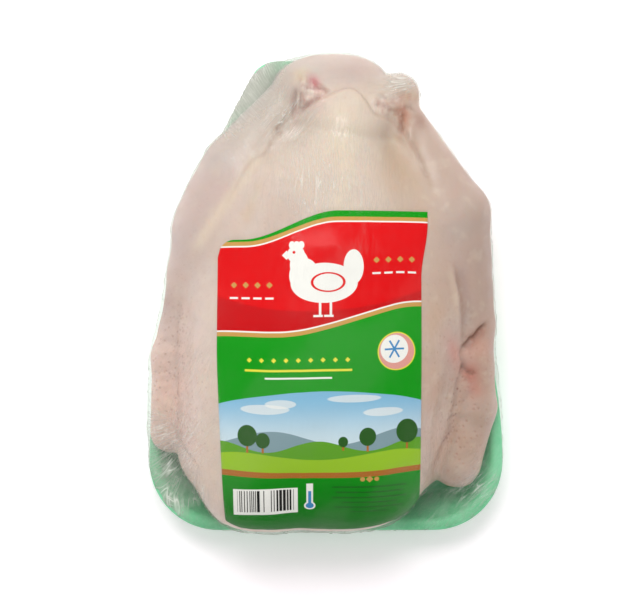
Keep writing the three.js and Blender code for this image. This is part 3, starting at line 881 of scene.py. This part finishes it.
def film_material():
    """Clear gloss, and a milky veil where the film is hazed or creased."""
    n = Nodes("clear stretch film")
    place = n.attribute("place", 1)
    streak, haze = n.attribute("streak"), n.attribute("haze")

    def crest(at, scale, narrow):
        cloud = n.add("TexNoise", Vector=at, Scale=scale, Detail=1.0, Roughness=0.5)
        peak = (1.0 - abs(cloud - 0.5) * narrow).clamped()
        return peak * peak

    lines = n.math("MAXIMUM", crest(place, 0.8, 11.0) * 0.6, crest(place, 0.42, 16.0))
    sideways = n.add("Mapping", Vector=place, Scale=(0.15, 5.0, 1.0))
    crossing = crest(sideways, 0.5, 20.0) * n.ramp(streak, 0.72, 0.95)
    lines = n.math("MAXIMUM", lines, crossing) * streak
    bump = n.add("Bump", Strength=0.55, Distance=0.0005, Height=lines)
    edge = n.add("LayerWeight", 1, Blend=0.5, Normal=bump) ** 5.0
    tint = n.mix(edge * 0.8, (0.985, 0.99, 0.985), (0.60, 0.62, 0.58))
    clear = n.add("BsdfTransparent", Color=tint)
    gloss = n.add("BsdfGlossy", Color=(1, 1, 1), Roughness=0.12, Normal=bump)
    shine = streak * 0.035 + edge * 0.14 + 0.004
    sheet = n.add("MixShader", i0=shine, i1=clear, i2=gloss)
    veil = n.mix((lines * 1.5).clamped(), (0.60, 0.59, 0.53), (0.96, 0.97, 0.90))
    milky = n.add("BsdfDiffuse", Color=veil, Normal=bump)
    return n.finish(n.add("MixShader", i0=(haze + lines * 0.5).clamped(), i1=sheet, i2=milky))


# ---- the skin

SKIN = linear(218, 199, 184)
SKIN_PATCHES = [
    # (plan centre, radii, turn, colour, strength)
    ((66, 20), (30, 100), 0, (186, 158, 145), 0.9),  # the right side is darker: painted shade, partly a browner tone
    # painted shade: the right side's outer edge darker still
    ((76, 5), (8, 52), 0, (170, 145, 130), 0.7),
    ((58, -60), (22, 40), 10, (188, 152, 130), 0.75),  # right wing
    ((-72, -45), (14, 50), 2, (224, 188, 174), 0.8),  # left wing
    ((-52, -72), (10, 45), 0, (216, 195, 178), 0.75),  # left flank beside the label
    ((-68, 12), (10, 34), 0, (200, 180, 169), 0.7),
    ((-76, -4), (6, 12), 0, (176, 152, 140), 0.8),
    ((-56, 42), (20, 40), -26, (198, 176, 168), 0.85),  # left drumstick
    ((-46, 60), (8, 8), 0, (216, 200, 194), 0.6),
    ((-48, 47), (8, 6), -30, (204, 178, 170), 0.6),
    ((6, 32), (26, 40), 0, (204, 186, 170), 0.5),  # pale middle of the breast
    ((-20, 34), (12, 14), 0, (200, 175, 158), 0.85),
    ((8, 76), (15, 17), 0, (229, 211, 186), 0.8),  # yellow fat at the breast's tip
    ((34, 53), (11, 26), 12, (193, 166, 140), 0.85),  # right of the keel: painted shade, partly a tan tone
    ((8, 58), (4, 26), -4, (226, 209, 184), 0.4),  # keel
    ((-31, 68), (3, 10), 30, (200, 180, 162), 0.5),
    ((-35, 75), (6, 9), -20, (226, 212, 202), 0.6),
    ((4, 104), (30, 9), 0, (203, 182, 170), 0.8),  # skin over the vent
    ((18, 101), (8, 8), 0, (206, 186, 173), 0.6),
    ((14.4, 103.5), (4, 4), 0, (212, 178, 170), 0.5),
    ((12, 101), (3, 4), 10, (196, 180, 176), 0.5),
    ((14, 104), (13, 6), 0, (190, 168, 156), 0.6),
    ((-6, 102.5), (4.5, 3.4), 0, (198, 190, 178), 0.5),
    ((43, 79), (5, 6), 0, (170, 134, 120), 0.8),
    ((49, 61), (7, 11), 0, (194, 168, 154), 0.6),
    ((64, 36), (9, 12), 0, (190, 172, 160), 0.6),
    ((50, -20), (6, 24), 0, (200, 166, 134), 0.5),
    ((-7.5, 90), (8.5, 8), 0, (222, 190, 178), 0.8),  # meat inside the left hock
    ((-7.5, 92.5), (5, 3), 25, (228, 203, 192), 0.8),
    ((-12, 100), (3, 4), -30, (228, 206, 170), 0.75),
    ((-5.4, 97.4), (2.2, 3.3), 32, (208, 108, 114), 0.95),
    ((-14.6, 86), (1.3, 6.5), 4, (186, 122, 114), 0.8),
    ((-22.2, 75), (1.3, 2), 0, (168, 138, 124), 0.6),
    ((38, 92), (8, 4.4), -12, (214, 188, 168), 0.7),  # meat inside the right hock
    ((38.6, 90.6), (4.6, 2.2), -8, (224, 186, 154), 0.85),
    ((28.7, 87), (4.8, 4.2), 0, (230, 201, 190), 0.8),
    ((36, 82), (2.8, 6.5), 8, (212, 150, 128), 0.8),
    ((34.6, 75.6), (1.5, 3.6), 8, (158, 106, 84), 0.6),
    ((58.8, -27), (3.4, 7), 18, (208, 140, 122), 0.9),  # red skin round the right elbow
    ((66.8, -37.6), (5, 6), 20, (184, 100, 84), 1.0),
    ((70, -45), (4, 5), 0, (204, 132, 116), 0.85),
    ((70, -26), (8, 7), 30, (212, 162, 144), 0.85),
    ((73, -55), (8, 24), 0, (178, 150, 134), 0.6),
    ((59, -66), (6, 8), 0, (190, 156, 134), 0.5),
    ((60, -84), (12, 9), 0, (182, 158, 142), 0.7),
    ((49, -80), (4, 14), 0, (184, 160, 142), 0.6),
    ((51, -62), (4, 12), -8, (210, 182, 164), 0.7),
]
SKIN_LINES = [
    # (points, half width, colour, strength); the dark lines that follow creases are painted shade,
    # partly the skin's own tone
    ([(-30, 62), (-33, 60), (-39, 50.8), (-45, 42), (-54.5, 28.4), (-62, 17)],
     3.0, (228, 210, 184), 0.5),
    # painted shade beside the ridge on the left leg
    ([(-29, 52), (-34, 40), (-37, 31)], 2.6, (204, 180, 155), 0.6),
    ([(61, 13), (64.5, -2), (65.5, -16)], 2.6, (168, 143, 134), 0.6),
    ([(56, 12), (59, -2), (60, -18)], 1.8, (208, 184, 162), 0.5),
    # painted shade along the inside edge of the right wing
    ([(65, -34), (62.6, -50), (60, -64), (54, -77)], 1.8, (196, 150, 120), 0.4),
    ([(64, -26.5), (69, -21.5), (74, -15.5)], 1.9, (150, 98, 78), 0.8),
    ([(36, 76), (39, 69), (43, 62), (47, 53), (49, 46)], 1.6, (178, 150, 128), 0.5),
    ([(21.4, 90), (23.6, 83.7)], 0.9, (232, 214, 204), 0.7),
    ([(38.2, 77), (38.9, 70.5)], 0.7, (234, 216, 204), 0.8),
    ([(-16.5, 87), (-19, 81.5), (-21.6, 77.5)], 0.9, (236, 222, 212), 0.7),
    ([(-13.2, 94), (-13, 89), (-13.7, 83)], 0.6, (240, 224, 212), 0.9),
    ([(-12.5, 83.3), (-7.9, 87.6), (-1.9, 91.4)], 0.9, (196, 148, 138), 0.7),
    ([(-12, 96.5), (-8, 94.6), (-3, 95), (1, 93)], 0.8, (200, 146, 140), 0.6),
]
SPECKS = [
    # (points, strength, half width): rows of dark follicles
    ([(-66, -72), (-62.9, -81), (-58.4, -90), (-55, -99), (-49.8, -106)], 1.0, 2.2),
    ([(-66, -1), (-68, -17), (-68.5, -40), (-67.5, -50), (-66.6, -74)], 0.5, 3.4),
    ([(63, -33), (60, -51), (57.5, -64), (51, -78)], 0.9, 2.2),
    ([(53, -90), (60, -92.5), (66, -90)], 0.8, 1.6),
]
# The colour of the painted shade in the creases.
CREASE_PAINTED_SHADE = linear(146, 100, 80)


def skin_colours(x, y, up):
    """The skin's colour at each vertex: patches and lines laid one over another, some of them
    painted shade, then painted shade in the creases.
    """
    colour = np.tile(SKIN, (len(x), 1))
    layers = [(strength * spot(x, y, centre, radii, turn), shade)
              for centre, radii, turn, shade, strength in SKIN_PATCHES]
    layers += [(PLAN.read(line_map(points, strength, width), x, y), shade)
               for points, width, shade, strength in SKIN_LINES]
    for share, shade in layers:
        share = (np.clip(share, 0, 1) * up)[:, None]
        colour = colour * (1 - share) + linear(*shade) * share
    # Painted shade: the creases are darkened, more where they are deeper.
    crease_shading = sum(line_map(points, min(depth / CREASE_DARKEST, 1), 0.8 * width)
                  for points, depth, width in CREASES)
    dark = (CREASE_DARK * np.clip(PLAN.read(crease_shading, x, y), 0, 1) * up)[:, None]
    return colour * (1 - dark) + CREASE_PAINTED_SHADE * dark


def build_bird(bird_grid):
    points, quads = surface_net(bird_grid)
    table = neighbour_table(quads, len(points))
    for _ in range(2):
        points = relaxed(points, table)
        points -= bird_grid.read(points)[:, None] * bird_grid.normals(points)
    normals = bird_grid.normals(points)
    x, y = points[:, 0], points[:, 1]
    up = smooth_step(-0.05, 0.3, normals[:, 2])
    under_label = label_cover(x, y)
    relief = PLAN.read(skin_relief(), x, y) * up
    relief = relief + SIDE_LUMPS * noise_at(points, 6.0, 31) * (1 - up)
    lift = np.minimum(relief, SKIN_LIMIT) * (1 - under_label) - UNDER_LABEL * under_label
    bird = make_mesh("chicken", points + normals * lift[:, None], quads)
    set_attribute(bird, "skin_colour", skin_colours(x, y, up))
    specks = sum(line_map(*row) for row in SPECKS)
    for name, values in (("specks", specks), ("meat", sum(openings()))):
        set_attribute(bird, name, np.clip(PLAN.read(values, x, y), 0, 1) * up)
    pores = np.maximum(spot(x, y, (60, -55), (18, 45), 10), spot(x, y, (-72, -45), (16, 50), 2))
    set_attribute(bird, "pores", np.clip(0.2 + pores, 0, 1))
    bird.data.materials.append(skin_material())
    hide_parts("wrapped_chicken")


def skin_material():
    n = Nodes("raw chicken skin")
    place = n.add("TexCoord", 3)
    base = n.attribute("skin_colour", 0)
    pores, meat, specks = (n.attribute(name) for name in ("pores", "meat", "specks"))
    mottle = n.add("TexNoise", Vector=place, Scale=110, Detail=4, Roughness=0.6)
    cloud = n.add("TexNoise", Vector=place, Scale=30, Detail=2)
    follicles = n.add("TexVoronoi", Vector=place, Scale=380, Randomness=0.9)
    pits = n.ramp(follicles, 0.36, 0.05) * pores
    dots = n.add("TexVoronoi", Vector=place, Scale=520, Randomness=1.0)
    dots = n.ramp(dots, 0.34, 0.16) * specks
    grain = n.add("Mapping", Vector=place, Rotation=(0, 0, 0.5), Scale=(1.0, 0.35, 1.0))
    flesh = n.add("TexNoise", Vector=grain, Scale=420, Detail=3, Roughness=0.6)
    raw = n.mix(n.ramp(flesh, 0.34, 0.5), (0.56, 0.27, 0.22), base)
    raw = n.mix(n.ramp(flesh, 0.52, 0.66), raw, (0.86, 0.73, 0.62))
    colour = base
    for share, shade in (
        (n.ramp(mottle, 0.52, 0.75, 0, 0.16), (0.58, 0.34, 0.28)),  # red blotches
        (n.ramp(mottle, 0.48, 0.3, 0, 0.18), (0.80, 0.72, 0.56)),  # yellow fat
        (n.ramp(cloud, 0.42, 0.62, 0, 0.2), (0.56, 0.50, 0.49)),  # grey clouds
        (pits * 0.35, (0.42, 0.20, 0.15)),
        (dots * 0.8, (0.22, 0.09, 0.07)),
        (meat * 0.4, raw),
    ):
        colour = n.mix(share, colour, shade)
    height = mottle * 0.6 - pits + flesh * meat * 2.0
    bump = n.add("Bump", Strength=0.4, Distance=0.0005, Height=height)
    return n.finish(n.add(
        "BsdfPrincipled", settings=dict(subsurface_method="RANDOM_WALK"), Base_Color=colour,
        Roughness=n.ramp(mottle, 0.3, 0.7, 0.36, 0.5), Normal=bump, Specular_IOR_Level=0.4,
        Subsurface_Weight=0.3, Subsurface_Radius=(1.0, 0.45, 0.25), Subsurface_Scale=0.003))


# ---- the label

def label_grid(columns, rows):
    """Rays that meet the film where the label lies: points they aim at, and directions."""
    u, v = np.meshgrid(np.linspace(-1, 1, columns + 1), np.linspace(0, 1, rows + 1), indexing="xy")
    top = label_top(u)
    lean = smooth_step(LABEL_WRAP_START, 1, v) * LABEL_WRAP
    corner = LABEL_CORNER * smooth_step(0.93, 1.0, v) ** 2
    middle, half = label_sides(v)
    aim = np.stack([
        middle + u * (half - corner), top + (LABEL_BOTTOM_Y - top) * v,
        np.full(u.shape, LABEL_AIM)], -1)
    inward = np.stack([np.zeros(u.shape), np.sin(lean), -np.cos(lean)], -1)
    return aim, inward


def blur(values, rounds):
    """Smooths a map down its columns and along its rows by turns."""
    for _ in range(2 * rounds):
        padded = np.pad(values, ((1, 1), (0, 0)), "edge")
        values = (0.5 * values + 0.25 * (padded[:-2] + padded[2:])).T
    return values


def build_label(film_points, film_quads):
    """A thin sheet just inside the film, found by rays that are cast back at the film."""
    columns, rows = ((80, 132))
    tree = BVHTree.FromPolygons(film_points.tolist(), film_quads.tolist())
    aim, inward = label_grid(columns, rows)
    start = aim - inward * LABEL_RAY
    travel = np.zeros(aim.shape[:2])
    for index in np.ndindex(travel.shape):
        travel[index] = tree.ray_cast(Vector(start[index]), Vector(inward[index]))[3]
    places = start.reshape(-1, 3)
    crinkle = noise_at(places, 7.0, 51) + 0.5 * noise_at(places, 3.0, 52)
    travel = np.maximum(blur(travel, 6), travel) + LABEL_GAP
    travel += LABEL_CRINKLE * crinkle.reshape(travel.shape)
    front, back = (start + inward * (travel + depth)[..., None] for depth in (0, LABEL_THICKNESS))
    across = columns + 1
    count = across * (rows + 1)
    quads = grid_quads(rows, columns)[:, ::-1]
    rim = np.concatenate([
        np.arange(columns), np.arange(rows) * across + columns,
        rows * across + np.arange(columns, 0, -1), np.arange(rows, 0, -1) * across])
    after = np.roll(rim, -1)
    edge = np.stack([rim, after, after + count, rim + count], 1)
    label = make_mesh("label_sheet", np.concatenate([front.reshape(-1, 3), back.reshape(-1, 3)]),
                      np.concatenate([quads[:, ::-1], quads + count, edge]))
    steps = np.linalg.norm(np.diff(front, axis=0), axis=2)
    down = np.concatenate([np.zeros((1, across)), np.cumsum(steps, 0)])
    down = down + (LABEL_ZERO_Y - aim[:1, :, 1])
    set_attribute(label, "across", np.tile((front[..., 0] - LABEL_MIDDLE_X).ravel(), 2))
    set_attribute(label, "along", np.tile(down.ravel(), 2))
    set_attribute(label, "front", np.repeat([1.0, 0.0], count))
    label.data.materials.append(print_material())
    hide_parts("label")


PRINT = {name: linear(*shade) for name, shade in dict(
    green=(6, 152, 14), painted_shade_green=(4, 104, 16), red=(226, 4, 12), deep_red=(178, 6, 16),
    gold=(206, 156, 84), brown=(176, 108, 44), white=(246, 244, 238), yellow=(236, 226, 70),
    pink=(226, 158, 148), sky=(132, 188, 220), haze=(206, 224, 232), hill=(132, 158, 166),
    meadow=(152, 194, 44), pasture=(96, 160, 40), tree=(44, 92, 34), ink=(26, 26, 26),
    blue=(66, 140, 196),
).items()}


class Art:
    """Flat shapes over the label, in millimetres across it and down from its top.

    A shape is a signed distance to its edge, negative inside.
    """

    def __init__(self, nodes):
        self.n = nodes
        self.x, self.y = nodes.attribute("across"), nodes.attribute("along")
        self.colour = PRINT["green"]

    def ellipse(self, cx, cy, rx, ry=None):
        ry = ry or rx
        across, along = (self.x - cx) / rx, (self.y - cy) / ry
        return ((across * across + along * along).root() - 1.0) * min(rx, ry)

    def box(self, cx, cy, hx, hy):
        return self.both(abs(self.x - cx) - hx, abs(self.y - cy) - hy)

    def diamond(self, cx, cy, r):
        return abs(self.x - cx) + abs(self.y - cy) - r

    def below(self, level, sag):
        """Everything below a parabola that hangs sag lower in its middle than at its ends."""
        share = self.x / LABEL_HALF_WIDTH
        return share * share * -sag + (level + sag) - self.y

    def waves(self, level, height, length, start):
        """Everything below a sine wave."""
        return ((self.x + start) * (2 * math.pi / length)).sine() * height + level - self.y

    def slope(self, left, right, start, end):
        """Everything below a level that eases from left to right between two places."""
        return self.n.ramp(self.x, start, end, left, right) - self.y

    def both(self, a, b):
        return self.n.math("MAXIMUM", a, b)

    def either(self, first, *others):
        for shape in others:
            first = self.n.math("MINIMUM", first, shape)
        return first

    def without(self, shape, *others):
        for other in others:
            shape = self.both(shape, 0.0 - other)
        return shape

    def ring(self, shape, width):
        """The band of the given width inside a shape's edge."""
        return self.both(shape, -width - shape)

    def paint(self, shape, colour, strength=1.0):
        cover = self.n.ramp(shape, 0.1, -0.1, 0.0, strength)
        self.colour = self.n.mix(cover, self.colour, PRINT[colour])


HEN_ROUNDS = [
    # (x, y, half width, half height) in shares of the hen's size: body, chest, head, neck,
    # tail, then the comb
    (0, 0, 0.50, 0.30), (-0.30, -0.12, 0.22, 0.26), (-0.42, -0.44, 0.13, 0.13),
    (-0.37, -0.28, 0.14, 0.22), (0.44, -0.24, 0.15, 0.26),
    (-0.48, -0.58, 0.045, 0.06), (-0.41, -0.58, 0.045, 0.06), (-0.34, -0.58, 0.045, 0.06),
]
HEN_LEGS = [
    (-0.06, 0.38, 0.018, 0.12), (0.1, 0.38, 0.018, 0.12),
    (-0.09, 0.495, 0.07, 0.016), (0.07, 0.495, 0.07, 0.016),
]


def draw_hen(art, cx, cy, size):
    """A plain hen in one colour, from a few simple shapes."""
    def part(shape, x, y, *sizes):
        return shape(cx + x * size, cy + y * size, *(s * size for s in sizes))

    parts = [part(art.ellipse, *row) for row in HEN_ROUNDS]
    parts += [part(art.box, *row) for row in HEN_LEGS]
    beak = part(art.diamond, -0.56, -0.43, 0.07)
    wing = art.ring(part(art.ellipse, 0.06, -0.01, 0.26, 0.15), 0.7)
    eye = part(art.ellipse, -0.45, -0.47, 0.022)
    art.paint(art.without(art.either(beak, *parts), wing, eye), "white")


def draw_banner(art):
    """The red field with its gold borders, the hen and two rows of dots."""
    for grow, colour in ((2.6, "gold"), (0.7, "white"), (0.0, "red")):
        top = art.slope(19.6 - grow, 8.6 - grow, -35.2, 7.0)
        field = art.without(top, art.slope(58 + grow, 45 + grow, -20, 47))
        art.paint(field, colour)
    art.paint(art.without(field, art.ellipse(-4, 22, 66, 27)), "deep_red", 0.55)
    draw_hen(art, 0.5, 36.5, 30.0)
    for side, level in ((-1, 37.0), (1, 26.5)):
        for step in range(4):
            art.paint(art.diamond(side * (24 + 5.4 * step), level, 1.5), "gold")
            art.paint(art.box(side * (24 + 5.4 * step), level + 6, 1.9, 0.45), "white")


def draw_middle(art):
    """Rules, dots and a chill mark on the green field under the banner."""
    for step in range(9):
        art.paint(art.diamond(-33 + 5.5 * step, 71, 1.15), "yellow")
    art.paint(art.box(-11, 75.6, 24, 0.5), "yellow")
    art.paint(art.box(-11, 79, 15, 0.4), "white")
    for x, y, radius, colour in (
        (33, 68, 8.6, "yellow"), (33, 68, 8.1, "pink"), (32, 67, 6.3, "white"),
    ):
        art.paint(art.ellipse(x, y, radius), colour)
    for turn in (0, 60, 120):
        along, side = turned(art.x - 32, art.y - 67, turn)
        art.paint(art.both(abs(along) - 4.4, abs(side) - 0.42), "blue")


def draw_landscape(art):
    """Rolling pasture under a pale sky."""
    before = art.colour
    art.colour = art.n.mix(art.n.ramp(art.y, 86, 110), PRINT["sky"], PRINT["haze"])
    for cloud in ((-26, 93, 11, 2.2), (-19, 90.6, 7, 2), (14, 88.5, 12, 1.7), (27, 95, 9, 1.9)):
        art.paint(art.ellipse(*cloud), "white", 0.6)
    art.paint(art.waves(106, 3.2, 60, 8), "hill")
    art.paint(art.waves(110, 2.4, 46, -9), "pasture")
    for x, y, r in (
        (-34, 105, 4.4), (-27, 107, 3.2), (20, 106, 3.8), (38, 104.5, 5.0), (9, 108, 2.2),
    ):
        art.paint(art.box(x, y + r, 0.5, r * 0.8), "brown")
        art.paint(art.ellipse(x, y, r, r * 1.1), "tree")
    art.paint(art.waves(114.5, 1.8, 72, 20), "meadow")
    window = art.without(art.below(91, -6.0), art.below(121, 2.0))
    art.colour = art.n.mix(art.n.ramp(window, 0.1, -0.1), before, art.colour)


def draw_foot(art):
    """The brown rule, the bar block, a thermometer and pale rules on the green foot."""
    art.paint(art.without(art.below(120.5, 2.0), art.below(123.2, 2.0)), "brown")
    art.paint(art.box(-26, 137.5, 14.6, 7.4), "white")
    chance = art.n.add("TexWhiteNoise", settings=dict(noise_dimensions="1D"),
                       W=(art.x / 0.42).floor())
    art.paint(art.both((0.5 - chance) * 4.0, art.box(-26, 137.0, 12.8, 6.1)), "ink")
    for colour, tube, bulb in (
        ("white", (-6, 133.5, 1.5, 5.5), 2.6), ("blue", (-6, 135.5, 0.7, 3.4), 1.8),
    ):
        art.paint(art.either(art.box(*tube), art.ellipse(-6, 140.5, bulb)), colour)
    for row, half in enumerate((17.0, 15.5, 17.0, 13.0, 16.0, 9.0)):
        art.paint(art.box(21, 130 + 2.9 * row, half, 0.42), "ink", 0.5)
    for x in (17.8, 24.2):
        art.paint(art.ellipse(x, 126, 1.1), "gold")
    art.paint(art.diamond(21, 126, 1.7), "gold")


def print_material():
    n = Nodes("printed label")
    art = Art(n)
    # Painted shade: the print darkens towards the label's lower end.
    art.colour = n.mix(n.ramp(art.y, 96, 175), art.colour, PRINT["painted_shade_green"])
    for draw in (draw_banner, draw_middle, draw_landscape, draw_foot):
        draw(art)
    colour = n.mix(n.attribute("front"), PRINT["white"], art.colour)
    waves = n.add("TexNoise", Vector=n.add("TexCoord", 3), Scale=60, Detail=2)
    bump = n.add("Bump", Strength=0.25, Distance=0.0008, Height=waves)
    return n.finish(n.add("BsdfPrincipled", Base_Color=colour, Roughness=0.4, Normal=bump,
                          Specular_IOR_Level=0.04))


# ---- the tray

TRAY_SECTION = [
    # (inset from the rim's outline, height)
    (17.4, 0.45), (16.2, 0.6), (14.9, 1.9), (11.2, 8.5), (6.6, 16.6), (3.9, 20.2), (2.4, 21.2),
    (0.9, 21.5), (0.35, 22.1), (0.15, 22.9), (0.45, 23.9), (1.3, 24.6), (2.6, 24.85),
    (4.2, 24.65), (5.4, 23.9), (6.4, 22.6), (10.6, 15.6), (14.6, 8.9), (16.2, 6.6),
    (18.2, 5.3), (20.5, 4.8), (24, 4.7), (27, 5.1), (30, 5.4),
]


def build_tray():
    half_count = 200
    count = 2 * half_count
    section = smooth_line(TRAY_SECTION, 3)
    rings = [np.c_[outline(inset, half_count), np.full(count, height)] for inset, height in section]
    points = np.concatenate(rings + [[(0, 0, section[0][1]), (0, 0, section[-1][1])]])
    wobble = TRAY_WOBBLE * noise_at(points.astype(FLOAT), 14.0, 41)
    points[:, 2] += wobble * smooth_step(2, 8, points[:, 2])
    here = np.arange(count)
    after = (here + 1) % count
    last = (len(rings) - 1) * count
    band = np.stack([here, after, after + count, here + count], 1)
    quads = np.concatenate([band + start for start in range(0, last, count)])
    bottom = np.stack([np.full(count, len(points) - 2), after, here], 1)
    floor = np.stack([np.full(count, len(points) - 1), last + here, last + after], 1)
    tray = make_mesh("foam_tray", points, np.concatenate([
        quads[:, [0, 1, 2]], quads[:, [0, 2, 3]], bottom, floor]))
    tray.data.materials.append(foam_material())
    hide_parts("tray")


def foam_material():
    n = Nodes("mint polystyrene foam")
    place = n.add("TexCoord", 3)
    cells = n.add("TexVoronoi", Vector=place, Scale=620, Randomness=1.0)
    soft = n.add("TexNoise", Vector=place, Scale=55, Detail=3)
    base = n.mix(n.ramp(soft, 0.35, 0.65), linear(110, 203, 149), linear(134, 216, 168))
    colour = n.mix(n.ramp(cells, 0.5, 0.1, 0, 0.25), base, linear(164, 220, 188))
    bump = n.add("Bump", Strength=0.2, Distance=0.0005, Height=cells * 0.5 + soft)
    return n.finish(n.add(
        "BsdfPrincipled", Base_Color=colour, Roughness=0.48, Normal=bump,
        Subsurface_Weight=0.15, Subsurface_Radius=(1.0, 1.0, 1.0), Subsurface_Scale=0.003))


# ---- the stage

PIXEL_AT_RIM = 0.475 * MM  # what one pixel of the 640 x 599 picture spans there
PICTURE_WIDTH, PICTURE_HEIGHT = 640, 599
PACK_MIDDLE = (326.0, 293.0)  # the picture's pixel over the tray's middle
CAMERA_HEIGHT = 1.0
SENSOR = 36.0
LIGHTS_AIM = (0, 0, 0.03)
FLOOR_HALF = 4000


def build_camera():
    camera = bpy.data.objects.new("camera", bpy.data.cameras.new("camera"))
    bpy.context.scene.collection.objects.link(camera)
    camera.data.sensor_width = SENSOR
    span = PICTURE_WIDTH * PIXEL_AT_RIM
    camera.data.lens = SENSOR * (CAMERA_HEIGHT - RIM * MM) / span
    right = (PICTURE_WIDTH / 2 - PACK_MIDDLE[0]) * PIXEL_AT_RIM
    up = (PACK_MIDDLE[1] - PICTURE_HEIGHT / 2) * PIXEL_AT_RIM
    camera.location = (right, up, CAMERA_HEIGHT)
    bpy.context.scene.camera = camera


def add_light(name, place, size, power):
    light = bpy.data.objects.new(name, bpy.data.lights.new(name, "AREA"))
    light.data.shape = "RECTANGLE"
    light.data.size, light.data.size_y = size
    light.data.energy = power
    light.location = place
    aim = Vector(LIGHTS_AIM) - Vector(place)
    light.rotation_euler = aim.to_track_quat("-Z", "Y").to_euler()
    bpy.context.scene.collection.objects.link(light)


def build_stage():
    corners = [(FLOOR_HALF * i, FLOOR_HALF * j, 0) for i, j in ((-1, -1), (1, -1), (1, 1), (-1, 1))]
    floor = make_mesh("floor", corners, [[0, 1, 2, 3]], smooth=False)
    n = Nodes("pale floor")
    pale = n.add("BsdfDiffuse", Color=(1.0, 0.93, 0.97))
    glow = n.add("BsdfDiffuse", Color=(0.32, 0.297, 0.31))
    floor.data.materials.append(n.finish(n.add("AddShader", i0=pale, i1=glow)))
    n = Nodes("studio", bpy.data.worlds)
    across = n.add("SeparateXYZ", 1, i0=n.add("TexCoord"))
    level = n.add("MapRange", i0=across, i1=-1.0, i2=1.0, i3=0.43, i4=1.02)
    bpy.context.scene.world = n.finish(n.add("Background", Color=level), "OutputWorld")
    add_light("key", (-0.12, 0.62, 1.3), (0.7, 0.45), 7.0)
    add_light("glint", (-0.35, 0.55, 0.9), (0.16, 0.05), 0.45)
    bpy.context.scene.view_settings.view_transform = "Standard"


bird_grid = Grid(bird_field, *BIRD_BOX, GRID_STEP)
build_bird(bird_grid)
build_label(*build_film(bird_grid))
build_tray()
build_stage()
build_camera()
